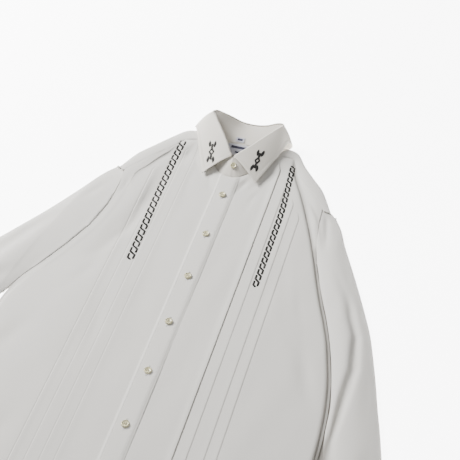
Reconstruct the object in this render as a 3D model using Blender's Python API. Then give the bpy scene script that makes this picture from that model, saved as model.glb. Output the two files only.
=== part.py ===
# A long-sleeved shirt with pin tucks, buttoned and laid on its back on a flat surface.
# Left and right are the wearer's, so the left front is at +X. The collar points to +Y.
# Sizes and tables are in millimetres, and the model is made in metres.

import math

import bmesh
import bpy
import numpy as np

MM = 0.001
WALL = 1.2
COLLAR_WALL = 1.5
CUFF_WALL = 2.0
SEAM_GAP = 0.4
FRONT_TOP = 6.3
LIP = 8.0
EDGE_LEVEL = 2.9
HEM_DROP_LENGTH = 25.0
NECK_RISE_LENGTH = 45.0
BACK_SEAM_Y = -20.0
HEM_SIDE_Y = -585.0
HEM_CURVE = 70.0
HALF_BODY = 258.0
FRONT_HEM_LIFT = 4.0
SIDE_STRIP = 4.0
YOKE_GAP = 0.35
FRONT_ROWS = 26
BACK_ROWS = 26
BACK_COLUMNS = 11
ROW_CROWDING = 1.3

PLACKET_WIDTH = 35.0
PLACKET_LIFT = 0.5
PLACKET_EDGE = 1.5
BUTTON_DIAMETER = 11.5
BUTTON_THICKNESS = 2.6
BUTTON_SPACING = 90.0
BUTTON_X = 0.8
BUTTON_TURNS = 12
BUTTON_LIFT = 0.3
FIRST_BUTTON_Y = -1.0
FRONT_BUTTONS = 7
COLLAR_BUTTON_DIAMETER = 10.5
COLLAR_BUTTON_ROW = 2.45
COLLAR_BUTTON_REACH = 0.58
CUFF_BUTTON_DIAMETER = 10.0
SMALL_BUTTON_LIFT = 0.5
TUCK_HEIGHT = 0.9
TUCK_HALF_WIDTH = 1.4
TUCK_FADE = 6.0


def table(names, rows):
    """Rows of numbers as named columns."""
    return dict(zip(names.split(), np.array(rows, float).T))


# The edge of the neck on both fronts, from the middle out to the shoulder.
NECK = table("x y z", [
    (-12, 42.0, 9.5), (0, 40.0, 9.5), (12, 42.0, 9.5), (17, 45.5, 9.6), (32, 60.0, 9.9),
    (45, 75.5, 10.4), (56, 90.5, 11.2), (63, 101.5, 12.2), (68, 111.5, 13.0)])

# The side of each front, by height up the body: the deep crease beside the sleeve, the strip
# outside it up to the armhole or side seam, and the levels of the crease and of that seam.
LEFT_SIDE = table("y crease width valley edge", [
    (-700, 254, 4, 2.9, 2.9), (-470, 255, 4, 2.9, 2.9), (-388, 255, 4, 2.9, 2.9),
    (-345, 252, 4, 2.9, 2.9), (-305, 246, 4, 2.9, 2.9), (-272, 238, 4, 2.9, 2.9),
    (-239, 229, 4, 2.9, 2.9), (-205, 217, 4, 2.9, 2.9), (-170, 203, 4, 2.9, 2.9),
    (-134, 190, 4, 2.9, 2.9), (-96, 177, 4, 2.9, 3.4), (-57, 163, 9, 3.2, 5.5),
    (-17, 147, 19, 3.4, 7.6), (17, 132.5, 30.5, 3.6, 8.6), (42, 121, 31, 3.8, 9.5),
    (62, 111, 23, 4.2, 10), (88, 100, 20, 5.5, 11), (112, 93, 20, 9.5, 12)])
RIGHT_SIDE = table("y crease width valley edge", [
    (-700, 254, 4, 2.9, 2.9), (-345, 254, 4, 2.9, 2.9), (-310, 253, 4, 2.9, 2.9),
    (-280, 248, 5, 3.6, 3.2), (-250, 235, 8, 5.2, 4.6), (-215, 213, 11, 6.2, 5.5),
    (-170, 190, 12, 6.3, 6.0), (-120, 170, 12, 6.3, 6.0), (-70, 159, 12, 6.3, 6.2),
    (-20, 155, 15, 6.6, 7.0), (12, 152, 20, 7.6, 8.6), (34, 139, 20.4, 8.0, 9.0),
    (54, 129, 20, 8.4, 9.5), (71, 118, 21, 8.8, 10), (88, 108, 21, 9.5, 11),
    (106, 96.7, 21, 11, 12)])
LEFT_YOKE_TOP, LEFT_YOKE_END = 112.0, 17.0
RIGHT_YOKE_TOP, RIGHT_YOKE_END = 106.0, 12.0
BACK_ARMHOLE = table("y x", [(-134, 194), (-96, 181.2), (-57, 177.6), (-20, 180)])
STRIP_PARTS = (0.0, 0.25, 0.5, 0.75, 1.0)

# Pin tucks: distance from the middle, and how far inside the crease each is kept.
LEFT_TUCKS = table("x margin", [(77, 18), (94.5, 14), (117, 10), (133, 6)])
RIGHT_TUCKS = table("x margin", [(70, 18), (89, 14), (108, 10), (128, 6)])

# Soft folds and creases pressed into the cloth. Rows with one number make one chain.
FRONT_FOLDS = table("fold x y width depth", [
    (1, 185, -245, 10, 0.0), (1, 210, -300, 10, 1.9), (1, 237, -370, 10, 0.0),
    (2, 38, 52, 5, 0.0), (2, 27, 32, 5, 1.4), (2, 19, 8, 5, 0.0),
    (3, -110, 15, 13, 0.0), (3, -116, -45, 14, 2.4), (3, -128, -92, 15, 2.8),
    (3, -158, -168, 16, 1.5), (3, -178, -220, 16, 0.0),
    (4, -78, 108, 7, 0.0), (4, -84, 79, 7, 2.2), (4, -90, 44, 7, 0.0),
    (5, -161, 2, 5, 0.0), (5, -159, -20, 5, 1.5), (5, -161, -42, 5, 0.0),
    (6, -190, -300, 12, 0.0), (6, -214, -360, 12, 1.9), (6, -236, -430, 12, 0.0),
    (7, -150, -440, 13, 0.0), (7, -160, -500, 13, 1.6), (7, -172, -570, 13, 0.0),
    (8, 196, -440, 13, 0.0), (8, 208, -505, 13, 1.6), (8, 213, -570, 13, 0.0),
    (9, -36, 46, 5, 0.0), (9, -28, 24, 5, 1.0), (9, -22, 2, 5, 0.0)])
SLEEVE_FOLDS = table("fold x y width depth", [
    (1, 236, -138, 8, 0.0), (1, 254, -190, 7, 4.0), (1, 268, -222, 7, 6.0),
    (1, 276, -280, 7, 6.5), (1, 271, -340, 7, 6.0), (1, 266, -395, 8, 3.0),
    (1, 272, -450, 10, 0.0),
    (2, 173, 10, 4, 0.0), (2, 178, -12, 4, 2.2), (2, 184, -40, 4, 2.0), (2, 190, -78, 5, 0.0),
    (3, 318, -400, 11, 0.0), (3, 327, -450, 11, 3.5), (3, 333, -500, 10, 2.5),
    (3, 336, -530, 10, 0.0),
    (4, -236, -105, 11, 0.0), (4, -272, -165, 12, 2.6), (4, -306, -235, 12, 2.8),
    (4, -336, -300, 12, 0.0),
    (5, -330, -330, 11, 0.0), (5, -368, -385, 10, 3.2), (5, -400, -440, 9, 2.6),
    (5, -412, -452, 9, 0.0),
    (6, -262, -235, 10, 0.0), (6, -280, -270, 10, 2.4), (6, -306, -330, 11, 0.0)])

# Sleeve sections from the armhole to the cuff: inner edge, outer edge and height.
LEFT_SLEEVE = table("in_x in_y out_x out_y high", [
    (182.4, -98, 188.6, 0.5, 9), (189.2, -117, 203, -20, 11), (195.6, -137, 217, -52, 12),
    (205.5, -163, 236, -92, 13), (219.0, -196, 255, -133, 13.5), (231.8, -232, 273, -174, 14),
    (242.4, -268, 288, -211, 14), (251.2, -305, 300, -250, 14), (258.2, -345, 311, -289, 14),
    (260.6, -388, 321, -328, 14), (266, -425, 332, -368, 15), (273, -462, 343, -412, 16),
    (278, -500, 356, -457, 17), (281, -536, 370, -503, 18)])
RIGHT_SLEEVE = table("in_x in_y out_x out_y high", [
    (-258.8, -287, -190.2, 17, 8), (-265, -299, -206, -4, 10), (-272, -312, -232, -54, 11),
    (-281, -328, -262, -108, 12), (-291, -346, -292, -156, 13), (-303, -372, -322, -203, 13.5),
    (-317, -398, -352, -251, 14), (-331, -424, -384, -301, 15), (-346, -451, -420, -359, 16),
    (-363, -479, -458, -420, 17)])
LEFT_CUFF = table("in_x in_y out_x out_y high", [
    (279.0, -537.2, 372.2, -502.6, 21), (280.6, -558, 376.6, -522.6, 22.5),
    (282.4, -580, 381.4, -544.6, 23), (284.2, -602, 386, -566, 23)])
RIGHT_CUFF = table("in_x in_y out_x out_y high", [
    (-361.4, -481.0, -460.6, -419.2, 20), (-372, -500, -472, -438, 21.5),
    (-384.5, -519, -484, -457, 22), (-397, -538, -496, -476, 22)])

# The armholes, where the sleeve's top and underside meet the body, from underarm to shoulder.
LEFT_ARMHOLE = table("part top_x top_y low_x low_y", [
    (0.0, 182.4, -98, 182.4, -98), (0.35, 173.0, -57, 178.6, -57), (0.65, 167.8, -17, 181.6, -18),
    (0.82, 165.4, 8, 186.2, -9), (0.86, 165.6, 14.2, 187.4, -5), (0.93, 178.0, 7.4, 188.2, -2),
    (1.0, 188.6, 0.5, 188.6, 0.5)])
RIGHT_ARMHOLE = table("part top_x top_y low_x low_y", [
    (0.0, -258.8, -287, -258.8, -287), (0.05, -254.2, -275, -254.2, -275),
    (0.13, -244.4, -250, -244.4, -250),
    (0.26, -225.2, -215, -225.2, -215), (0.42, -203.0, -170, -203.0, -170),
    (0.58, -183.0, -120, -183.0, -120), (0.73, -172.2, -70, -172.2, -70),
    (0.86, -171.2, -20, -171.2, -20), (0.93, -173.2, 6, -176.4, -2),
    (0.96, -174.6, 9.6, -182.0, 4), (1.0, -190.2, 17, -190.2, 17)])
ARMHOLE_LEVEL = table("part left right", [
    (0.0, 6.5, 6.5), (0.2, 6.8, 6.8), (0.4, 7.2, 7.0), (0.6, 7.8, 7.2), (0.86, 9.0, 8.4),
    (1.0, 7.5, 7.5)])

# Yoke sections from the right shoulder round to the left. Each one starts at low_x on the back
# seam, runs flat up the back to flat_x and flat_y, and then follows a cubic curve through two
# handles to the neck or the front seam. A row with part 0 or more ends on the front seam, that
# far along it; a row with -1 ends at its own point.
YOKE = table("part low_x flat_x flat_y ax ay az bx by bz tx ty tz", [
    (1.0, -169, -171, -4, -187, 21, 0, -187, 27, 9, 0, 0, 0),
    (0.75, -168, -168, 20, -170, 62, 0, -171, 64, 11, 0, 0, 0),
    (0.5, -148, -148, 48, -149, 88, 0, -150, 90, 13, 0, 0, 0),
    (0.25, -124, -124, 76, -125, 118, 0, -126, 120, 14, 0, 0, 0),
    (0.0, -101, -101, 88, -102, 137, 0, -103, 142, 15, 0, 0, 0),
    (-1, -73, -73, 98, -77, 124, 0, -79, 131, 13, -68.3, 112.4, 13.2),
    (-1, -66, -66, 98, -67, 112, 0.4, -67, 122, 8, -64.5, 118.2, 11.6),
    (-1, -55, -55, 98, -55, 110, 0.4, -55, 118, 4.5, -55, 121.8, 8.4),
    (-1, -38, -38, 98, -38, 108, 0.4, -38, 117, 2.6, -38, 125.3, 5.7),
    (-1, -18, -18, 98, -18, 108, 0.4, -18, 118, 2.3, -18, 126.7, 5.0),
    (-1, 3, 3, 98, 3, 108, 0.4, 3, 118, 2.2, 3, 127.0, 4.8),
    (-1, 22, 22, 98, 22, 108, 0.4, 22, 118, 2.3, 22, 126.6, 5.0),
    (-1, 38, 38, 98, 38, 108, 0.4, 38, 117, 2.6, 38, 125.3, 5.7),
    (-1, 55, 55, 98, 55, 110, 0.4, 55, 118, 4.5, 55, 121.8, 8.4),
    (-1, 66, 66, 98, 67, 112, 0.4, 67, 122, 8, 64.5, 118.2, 11.6),
    (-1, 73, 73, 98, 76, 122, 0, 78, 128, 13, 68.3, 112.4, 13.2),
    (0.0, 97, 97, 92, 98, 127, 0, 99, 131, 13, 0, 0, 0),
    (0.25, 117, 117, 75, 118, 110, 0, 119, 112, 13, 0, 0, 0),
    (0.5, 139, 139, 50, 140, 87, 0, 141, 89, 12.5, 0, 0, 0),
    (0.75, 160, 160, 20, 163, 62, 0, 164, 64, 11, 0, 0, 0),
    (1.0, 178, 181, -6, 182.5, 8, 0, 182.5, 14, 9, 0, 0, 0)])
TUBE_EDGE = 2.8
TUBE_ARCH = 0.55
TOP_STEPS = 23
UNDER_STEPS = 8
YOKE_FLAT_ROWS = 3
YOKE_CURVE_ROWS = 9

# The collar stand from its outer end, round the neck, to the end that lies under it: the point
# on the neck seam and the point on the fold line above it.
STAND = table("sx sy sz tx ty tz", [
    (-22, 50.5, 9.8, -18, 64, 16.5), (-12, 42.4, 9.6, -9.5, 66, 20.5), (0, 40.4, 9.6, -3, 70.5, 25),
    (12, 42.4, 9.6, 2, 75.5, 26.5), (22, 50.5, 9.8, 10, 85, 29), (33, 61.5, 10.0, 22, 100, 31.7),
    (45, 75.9, 10.5, 36, 120, 34.8), (56, 90.9, 11.3, 48, 137, 37), (63, 102, 12.3, 57, 149, 38.6),
    (68, 112.2, 13.2, 61.8, 154.5, 39), (67.4, 115.6, 12.8, 61.5, 157.5, 38.6),
    (64.5, 118.4, 11.8, 58.5, 160, 37.6), (55, 122, 8.6, 50, 161.5, 34.2),
    (38, 125.5, 5.9, 33.5, 161.5, 26), (22, 126.9, 5.1, 18, 163.6, 20),
    (3, 127.3, 4.9, 2, 165.8, 17), (-18, 127, 5.1, -15, 166, 19),
    (-38, 125.5, 5.9, -31.3, 165.5, 26.5), (-55, 122, 8.6, -47, 163.5, 33.8),
    (-64.5, 118.4, 11.8, -57, 162.8, 37.4), (-67.4, 115.6, 12.8, -61.2, 160.6, 38.5),
    (-68, 112.2, 13.2, -62.4, 156.8, 39), (-63, 102, 12.3, -57, 149, 38.2),
    (-56, 90.9, 11.3, -47, 134, 36.6), (-45, 75.9, 10.5, -34, 116, 34),
    (-33, 62.7, 8.6, -22, 99, 30), (-22, 51.8, 7.6, -13, 84.5, 26.2),
    (-12, 43.7, 7.4, -7, 75.8, 23.3), (2, 41.8, 7.4, 1, 72.0, 23.0)])

# The collar leaf: the row of the stand it folds over, its handle and its outer edge.
LEAF = table("row mx my mz ex ey ez", [
    (2.4, 24, 57, 22.5, 46, 37, 12.5), (4, 33, 73, 25.5, 53, 58, 13.8),
    (5, 43, 91, 28.5, 59.5, 79, 15.5), (6, 53, 110, 31.5, 66, 99, 17.2),
    (7, 62, 128, 33.5, 73, 120, 19), (8, 70, 143, 33.5, 79.5, 136, 19),
    (9, 77, 149, 30, 87, 138, 11), (10, 77, 153, 22, 85, 143, 3.5),
    (11, 71, 158, 14, 77, 143, 0.3), (12, 58, 163, 10, 63, 135, 0),
    (13, 37, 163, 6, 40, 126, 0), (14, 19, 163, 4, 20, 124, 0), (15, 2, 163, 3, 2, 123, 0),
    (16, -16, 164, 4, -17, 124, 0), (17, -35, 166, 6, -38, 126, 0),
    (18, -56, 167, 10, -61, 135, 0), (19, -71, 163, 14, -78, 145, 0.3),
    (20, -79, 159, 22, -89, 147, 3.5), (21, -80, 153, 31, -92, 142, 11),
    (22, -75, 144, 34, -87, 133, 18.5), (23, -66, 127, 32, -78, 113, 18.5),
    (24, -54, 108, 29.5, -70, 93, 16.6), (25, -43, 89, 26.5, -61.5, 73, 15),
    (26, -34, 71, 24, -53, 53, 13.6), (27.1, -26, 57, 23.5, -45, 35, 12.5)])
STAND_ENDS = (0, 1, 2)
LEAF_STEPS = (2.4, *range(3, 27), 27.1)
LEAF_ROWS = 6
FOLD_RADIUS = 2.8

LABEL_WIDTH, LABEL_LENGTH, LABEL_WALL = 50.0, 22.0, 0.6
LABEL_TOP_Y = 124.0
LABEL_LIFT = 0.8
TAB_ROWS = (15.15, 15.9)
TAB_REACH = (0.08, 0.3)
TAB_LIFT = 0.35


def smooth(t):
    """Zero to one with level ends."""
    t = np.clip(t, 0.0, 1.0)
    return t * t * (3.0 - 2.0 * t)


def glide(keys, values, at):
    """A smooth curve through rows, with each slope taken from the neighbouring rows."""
    at = np.clip(np.asarray(at, float), keys[0], keys[-1])
    slope = np.gradient(values, keys)
    i = np.clip(np.searchsorted(keys, at, side="right") - 1, 0, len(keys) - 2)
    span = keys[i + 1] - keys[i]
    t = (at - keys[i]) / span
    start = (1 + 2 * t) * (1 - t) ** 2 * values[i] + t * (1 - t) ** 2 * span * slope[i]
    end = t * t * (3 - 2 * t) * values[i + 1] + t * t * (t - 1) * span * slope[i + 1]
    return start + end


def between(keys, values, at):
    """Straight lines between rows."""
    return np.interp(at, keys, values)


def crowded(rows):
    """Steps from zero to one that lie closer together near one."""
    return 1 - (1 - np.linspace(0, 1, rows)) ** ROW_CROWDING


def pressed(folds, x, y):
    """How far the folds press the cloth down at each point."""
    total = np.zeros(np.shape(x))
    for number in np.unique(folds["fold"]):
        pick = folds["fold"] == number
        fx, fy = folds["x"][pick], folds["y"][pick]
        best = np.full(np.shape(x), 1e9)
        depth = np.zeros(np.shape(x))
        for i in range(len(fx) - 1):
            ux, uy = fx[i + 1] - fx[i], fy[i + 1] - fy[i]
            t = np.clip(((x - fx[i]) * ux + (y - fy[i]) * uy) / (ux * ux + uy * uy), 0, 1)
            away = np.hypot(x - fx[i] - t * ux, y - fy[i] - t * uy)
            width = folds["width"][pick][i] * (1 - t) + folds["width"][pick][i + 1] * t
            deep = folds["depth"][pick][i] * (1 - t) + folds["depth"][pick][i + 1] * t
            nearer = away < best
            depth = np.where(nearer, deep * np.exp(-((away / width) ** 2)), depth)
            best = np.minimum(best, away)
        total = total + depth
    return total


def fabric(name, color, roughness):
    """A plain material for one kind of cloth or button."""
    material = bpy.data.materials.new(name)
    material.use_nodes = True
    shader = material.node_tree.nodes["Principled BSDF"]
    shader.inputs["Base Color"].default_value = (*color, 1.0)
    shader.inputs["Roughness"].default_value = roughness
    shader.inputs["Metallic"].default_value = 0.0
    return material


def surface_normals(points, ring):
    """Unit normals of a grid of points, from its two directions."""
    if ring:
        along = np.roll(points, -1, axis=0) - np.roll(points, 1, axis=0)
    else:
        along = np.gradient(points, axis=0)
    across = np.gradient(points, axis=1)
    normal = np.cross(along, across)
    return normal / np.linalg.norm(normal, axis=2, keepdims=True)


def square_ends(points, normal):
    """Keep the wall of a tube's first and last ring in the upright surface of that ring."""
    normal = normal.copy()
    for end in (0, points.shape[1] - 1):
        path = points[:, end, :2]
        tangent = np.roll(path, -1, axis=0) - np.roll(path, 1, axis=0)
        for corner in (0, TOP_STEPS - 1):
            tangent[corner] = path[(corner + 1) % len(path)] - path[corner]
        aside = np.stack([-tangent[:, 1], tangent[:, 0], np.zeros(len(path))], axis=1)
        aside = aside / np.linalg.norm(aside, axis=1, keepdims=True)
        kept = normal[:, end] - aside * (normal[:, end] * aside).sum(1, keepdims=True)
        normal[:, end] = kept / np.linalg.norm(kept, axis=1, keepdims=True)
    return normal


def cloth(name, points, thickness, material, out=1.0, relief=None, ring=False, plumb=None,
          behind=None):
    """A closed wall behind a grid of outer points, with any relief on its outer side only.

    The wall goes straight up and down where plumb is true, so that seam edges meet squarely.
    The first columns of the inner side are taken from behind, where that is given.
    """
    normal = surface_normals(points, ring) * out
    if plumb is not None:
        upright = np.array([0.0, 0.0, 1.0])
        facing = np.where(normal[..., 2:] < 0, -1.0, 1.0)
        normal = np.where(plumb[..., None], upright * facing, normal)
    if ring:
        normal = square_ends(points, normal)
    inner = points - normal * thickness
    if behind is not None:
        inner[:, :behind.shape[1]] = behind
    outer = points if relief is None else points + normal * relief[..., None]
    rows, columns = points.shape[:2]
    verts = np.concatenate([outer.reshape(-1, 3), inner.reshape(-1, 3)]) * MM
    base = rows * columns
    faces = []
    last = rows if ring else rows - 1
    for i in range(last):
        k = (i + 1) % rows
        for j in range(columns - 1):
            quad = [i * columns + j, k * columns + j, k * columns + j + 1, i * columns + j + 1]
            faces.append(quad)
            faces.append([base + v for v in reversed(quad)])
        for j in (0, columns - 1):
            faces.append([i * columns + j, base + i * columns + j,
                          base + k * columns + j, k * columns + j])
    if not ring:
        for i in (0, rows - 1):
            for j in range(columns - 1):
                a, b = i * columns + j, i * columns + j + 1
                faces.append([a, b, base + b, base + a])
    return solid(name, verts, faces, material)


def solid(name, verts, faces, material):
    """One mesh object whose faces all point out."""
    mesh = bpy.data.meshes.new(name)
    mesh.from_pydata([tuple(v) for v in verts], [], faces)
    shape = bmesh.new()
    shape.from_mesh(mesh)
    bmesh.ops.recalc_face_normals(shape, faces=shape.faces[:])
    bmesh.ops.triangulate(shape, faces=shape.faces[:])
    shape.to_mesh(mesh)
    shape.free()
    mesh.shade_smooth()
    mesh.set_sharp_from_angle(angle=math.radians(50))
    piece = bpy.data.objects.new(name, mesh)
    piece.data.materials.append(material)
    bpy.context.collection.objects.link(piece)
    return piece


def hem_y(x):
    """The curved tail of the shirt: lowest at the middle, higher at the sides."""
    return HEM_SIDE_Y - HEM_CURVE * (1 - np.minimum(abs(x) / HALF_BODY, 1.0) ** 2.2)


def neck_edge(x, side, yoke_top):
    """The top edge of a front: round the neck, then straight out to the yoke seam."""
    out_x, out_y, out_z = seam_point(side, yoke_top, yoke_top - 1.0, 0.0)
    near = min(x, NECK["x"][-1])
    share = max(x - NECK["x"][-1], 0.0) / (out_x - NECK["x"][-1])
    y = glide(NECK["x"], NECK["y"], near)
    z = glide(NECK["x"], NECK["z"], near)
    return y + (out_y - y) * share, z + (out_z - z) * share


def body_level(x, y, top_y, top_z):
    """Level of a front away from its side: flat, rising to the neck and falling to the hem."""
    rise = 1 - smooth((top_y - y) / NECK_RISE_LENGTH)
    level = FRONT_TOP + (top_z - FRONT_TOP) * rise
    drop = smooth((y - hem_y(x) - FRONT_HEM_LIFT) / HEM_DROP_LENGTH)
    return EDGE_LEVEL + (level - EDGE_LEVEL) * drop


def seam_point(side, top, end, part):
    """The front yoke seam, part of the way from the neck end to the armhole."""
    y = top + (end - top) * part
    x = glide(side["y"], side["crease"], y) + part * glide(side["y"], side["width"], y)
    low, high = glide(side["y"], side["valley"], y), glide(side["y"], side["edge"], y)
    return x, y, low + (high - low) * smooth(1.3 * part)


def front(name, sign, side, tucks, yoke_top, yoke_end, first_columns, material):
    """One front as columns that run from the hem to the neck or the yoke seam."""
    steps = crowded(FRONT_ROWS)
    columns, heights = [], []

    def add(x_at, low_x, top_x, level_at, raised=None, top_y=None, top_z=None):
        high_y, high_z = neck_edge(top_x, side, yoke_top) if top_y is None else (top_y, top_z)
        y = hem_y(low_x) + FRONT_HEM_LIFT
        y = y + (high_y - y) * steps
        x = x_at(y)
        z = level_at(x, y, high_y, high_z)
        z = np.maximum(z - pressed(FRONT_FOLDS, sign * x, y), EDGE_LEVEL)
        columns.append(np.stack([sign * x, y, z], axis=1))
        heights.append(np.zeros(len(y)) if raised is None else raised(x))

    def lip_start(y):
        return glide(side["y"], side["crease"], y) - LIP

    for x in (*first_columns, 17.0, 32.0, 47.0, 59.0):
        add(lambda y, x=x: np.full(len(y), x), x, x, body_level)
    top_lip = lip_start(yoke_top)
    for x, margin in zip(tucks["x"], tucks["margin"]):
        for offset in (-TUCK_HALF_WIDTH, 0.0, TUCK_HALF_WIDTH):
            def path(y, x=x, margin=margin, offset=offset):
                return np.minimum(x, lip_start(y) - margin) + offset

            def ridge(at, x=x, offset=offset):
                fade = 1 - smooth((x + offset - at) / TUCK_FADE)
                return TUCK_HEIGHT * fade * (offset == 0.0)
            add(path, x, top_lip - margin + offset, body_level, ridge)
    last_x, last_margin = tucks["x"][-1], tucks["margin"][-1]
    for share in (0.25, 0.5, 0.75):
        def path(y, share=share):
            inside = np.minimum(last_x, lip_start(y) - last_margin) + TUCK_HALF_WIDTH
            return inside + (lip_start(y) - inside) * share
        low = last_x + (HALF_BODY - LIP - last_x) * share
        top = path(np.array([yoke_top]))[0]
        add(path, low, top, body_level)
    for turn in (0.0, 35.0, 60.0, 78.0):
        back = LIP * (1 - math.sin(math.radians(turn)))

        def level(x, y, top_y, top_z, turn=turn):
            valley = glide(side["y"], side["valley"], y)
            body = body_level(x, y, top_y, top_z)
            return valley + (body - valley) * math.cos(math.radians(turn))
        add(lambda y, back=back: lip_start(y) + LIP - back, HALF_BODY - SIDE_STRIP - back,
            top_lip + LIP - back, level)
    for part in STRIP_PARTS:
        def strip(y, part=part):
            return lip_start(y) + LIP + part * glide(side["y"], side["width"], y)

        def level(x, y, top_y, top_z, part=part):
            low, high = glide(side["y"], side["valley"], y), glide(side["y"], side["edge"], y)
            return low + (high - low) * smooth(1.3 * part)
        add(strip, HALF_BODY - SIDE_STRIP * (1 - part), 0.0, level,
            top_y=yoke_top + (yoke_end - yoke_top) * part, top_z=0.0)
    plumb = np.zeros((len(columns), FRONT_ROWS), bool)
    plumb[:, -1] = plumb[-1, :] = True
    return cloth(name, np.array(columns), WALL, material, out=sign,
                 relief=np.array(heights), plumb=plumb)


def back(material):
    """The back panel, flat on the surface, from the hem up to the yoke seam."""
    points = []
    steps = crowded(BACK_ROWS)
    for u in np.linspace(0, 1, BACK_COLUMNS):
        low = hem_y((2 * u - 1) * HALF_BODY)
        y = low + (BACK_SEAM_Y - SEAM_GAP - low) * steps
        right = glide(RIGHT_SIDE["y"], RIGHT_SIDE["crease"], y)
        right = -(right + glide(RIGHT_SIDE["y"], RIGHT_SIDE["width"], y))
        left = glide(LEFT_SIDE["y"], LEFT_SIDE["crease"], y) + SIDE_STRIP
        armhole = glide(BACK_ARMHOLE["y"], BACK_ARMHOLE["x"], y)
        left = np.where(y > BACK_ARMHOLE["y"][0], armhole, left)
        points.append(np.stack([right + (left - right) * u, y, np.zeros(len(y))], axis=1))
    return cloth("back", np.array(points), WALL, material, out=-1.0)


def yoke_section(i):
    """Outer points of one yoke section, from the back seam to the neck or the front seam."""
    row = {key: YOKE[key][i] for key in YOKE}
    right = i < len(YOKE["part"]) / 2
    if row["part"] < 0:
        end = np.array([row["tx"], row["ty"], row["tz"]])
    elif right:
        x, y, z = seam_point(RIGHT_SIDE, RIGHT_YOKE_TOP, RIGHT_YOKE_END, row["part"])
        end = np.array([-x - YOKE_GAP, y + YOKE_GAP, z])
    else:
        x, y, z = seam_point(LEFT_SIDE, LEFT_YOKE_TOP, LEFT_YOKE_END, row["part"])
        end = np.array([x + YOKE_GAP, y + YOKE_GAP, z])
    first = np.array([row["flat_x"], row["flat_y"], 0.0])
    low = np.array([row["low_x"], BACK_SEAM_Y, 0.0])
    a = np.array([row["ax"], row["ay"], row["az"]])
    b = np.array([row["bx"], row["by"], row["bz"]])
    flat = [low + (first - low) * t for t in np.linspace(0, 1, YOKE_FLAT_ROWS, endpoint=False)]
    curve = []
    for t in np.linspace(0, 1, YOKE_CURVE_ROWS):
        s = 1 - t
        curve.append(s ** 3 * first + 3 * s * s * t * a + 3 * s * t * t * b + t ** 3 * end)
    return np.array(flat + curve)


def yoke(material):
    """One piece over both shoulders, joined to the back at its low edge."""
    sections = np.array([yoke_section(i) for i in range(len(YOKE["part"]))])
    plumb = np.zeros(sections.shape[:2], bool)
    plumb[:, -1] = YOKE["part"] >= 0
    return cloth("yoke", sections, WALL, material, out=-1.0, plumb=plumb)


def section_ring(top, low, corners, high, wall_edge, folds):
    """Outer points round one flattened tube: the top from inner to outer edge, then under."""
    near, far = corners
    middle = np.linspace(near, 1 - far, TOP_STEPS - 4)
    share = np.concatenate([[0.0, 0.45 * near], middle, [1 - 0.45 * far, 1.0]])
    arch = np.sin(math.pi * share) ** TUBE_ARCH
    x, y = top(share)
    z = wall_edge + (high(share) - wall_edge) * arch
    z = np.maximum(z - pressed(folds, x, y) * np.minimum(arch * 1.4, 1.0), wall_edge)
    middle = np.linspace(1 - 1.1 * far, 1.1 * near, UNDER_STEPS)
    under = np.concatenate([[1 - 0.25 * far], middle, [0.25 * near]])
    ux, uy = low(under)
    uz = np.zeros(len(under))
    uz[[0, -1]] = 0.28 * wall_edge
    return np.concatenate([np.stack([x, y, z], 1), np.stack([ux, uy, uz], 1)])


def corner_share(sections, i, inner, outer, key):
    """How far a tube's rounded edge reaches into a section, more where it is cut slanting."""
    a, b = max(i - 1, 0), min(i + 1, len(sections["high"]) - 1)
    along = np.array([sections[key + "_x"][b] - sections[key + "_x"][a],
                      sections[key + "_y"][b] - sections[key + "_y"][a]])
    span = outer - inner
    cross = abs(along[0] * span[1] - along[1] * span[0])
    sine = cross / (np.linalg.norm(along) * np.linalg.norm(span))
    return TUBE_EDGE / max(sine, 0.2) / np.linalg.norm(span)


def tube(name, sections, wall, material, out, folds, armhole=None, level=None):
    """A sleeve or cuff: flattened rings along its length, open at both ends."""
    count = len(sections["high"])
    rings = []
    for i in range(count):
        inner = np.array([sections["in_x"][i], sections["in_y"][i]])
        outer = np.array([sections["out_x"][i], sections["out_y"][i]])
        high = sections["high"][i]
        corners = [corner_share(sections, i, inner, outer, key) for key in ("in", "out")]

        def line(share, inner=inner, outer=outer):
            return (inner[0] + (outer[0] - inner[0]) * share,
                    inner[1] + (outer[1] - inner[1]) * share)
        top = low = line
        height = lambda share, high=high: np.full(len(share), high)
        if armhole is not None and i == 0:
            top = lambda s: (between(armhole["part"], armhole["top_x"], s),
                             between(armhole["part"], armhole["top_y"], s))
            low = lambda s: (between(armhole["part"], armhole["low_x"], s),
                             between(armhole["part"], armhole["low_y"], s))
            height = lambda s: between(ARMHOLE_LEVEL["part"], level, s)
        rings.append(section_ring(top, low, corners, height, TUBE_EDGE, folds))
    points = np.array(rings).transpose(1, 0, 2)
    return cloth(name, points, wall, material, out=out, ring=True)


def stand_frame(row):
    """A point of the seam, a point of the fold line and the outward normal at one row."""
    index = np.arange(len(STAND["sx"]))
    seam = np.array([between(index, STAND[k], row) for k in ("sx", "sy", "sz")])
    top, ahead, before = (np.array([glide(index, STAND[k], at) for k in ("tx", "ty", "tz")])
                          for at in (row, min(row + 0.5, index[-1]), max(row - 0.5, 0)))
    rise = (top - seam) / np.linalg.norm(top - seam)
    normal = np.cross(ahead - before, rise)
    return seam, top, rise, normal / np.linalg.norm(normal)


def stand_grid():
    """A standing band from the neck seam up to the fold line, in the same rows as the leaf."""
    grid = []
    for row in (*STAND_ENDS, *LEAF_STEPS, len(STAND["sx"]) - 1):
        seam, top, rise, _ = stand_frame(row)
        start = seam + rise * SEAM_GAP
        grid.append([start + (top - start) * t for t in np.linspace(0, 1, 4)])
    return np.array(grid)


def collar_stand(material):
    return cloth("collar_stand", stand_grid(), COLLAR_WALL, material, out=1.0)


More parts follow.
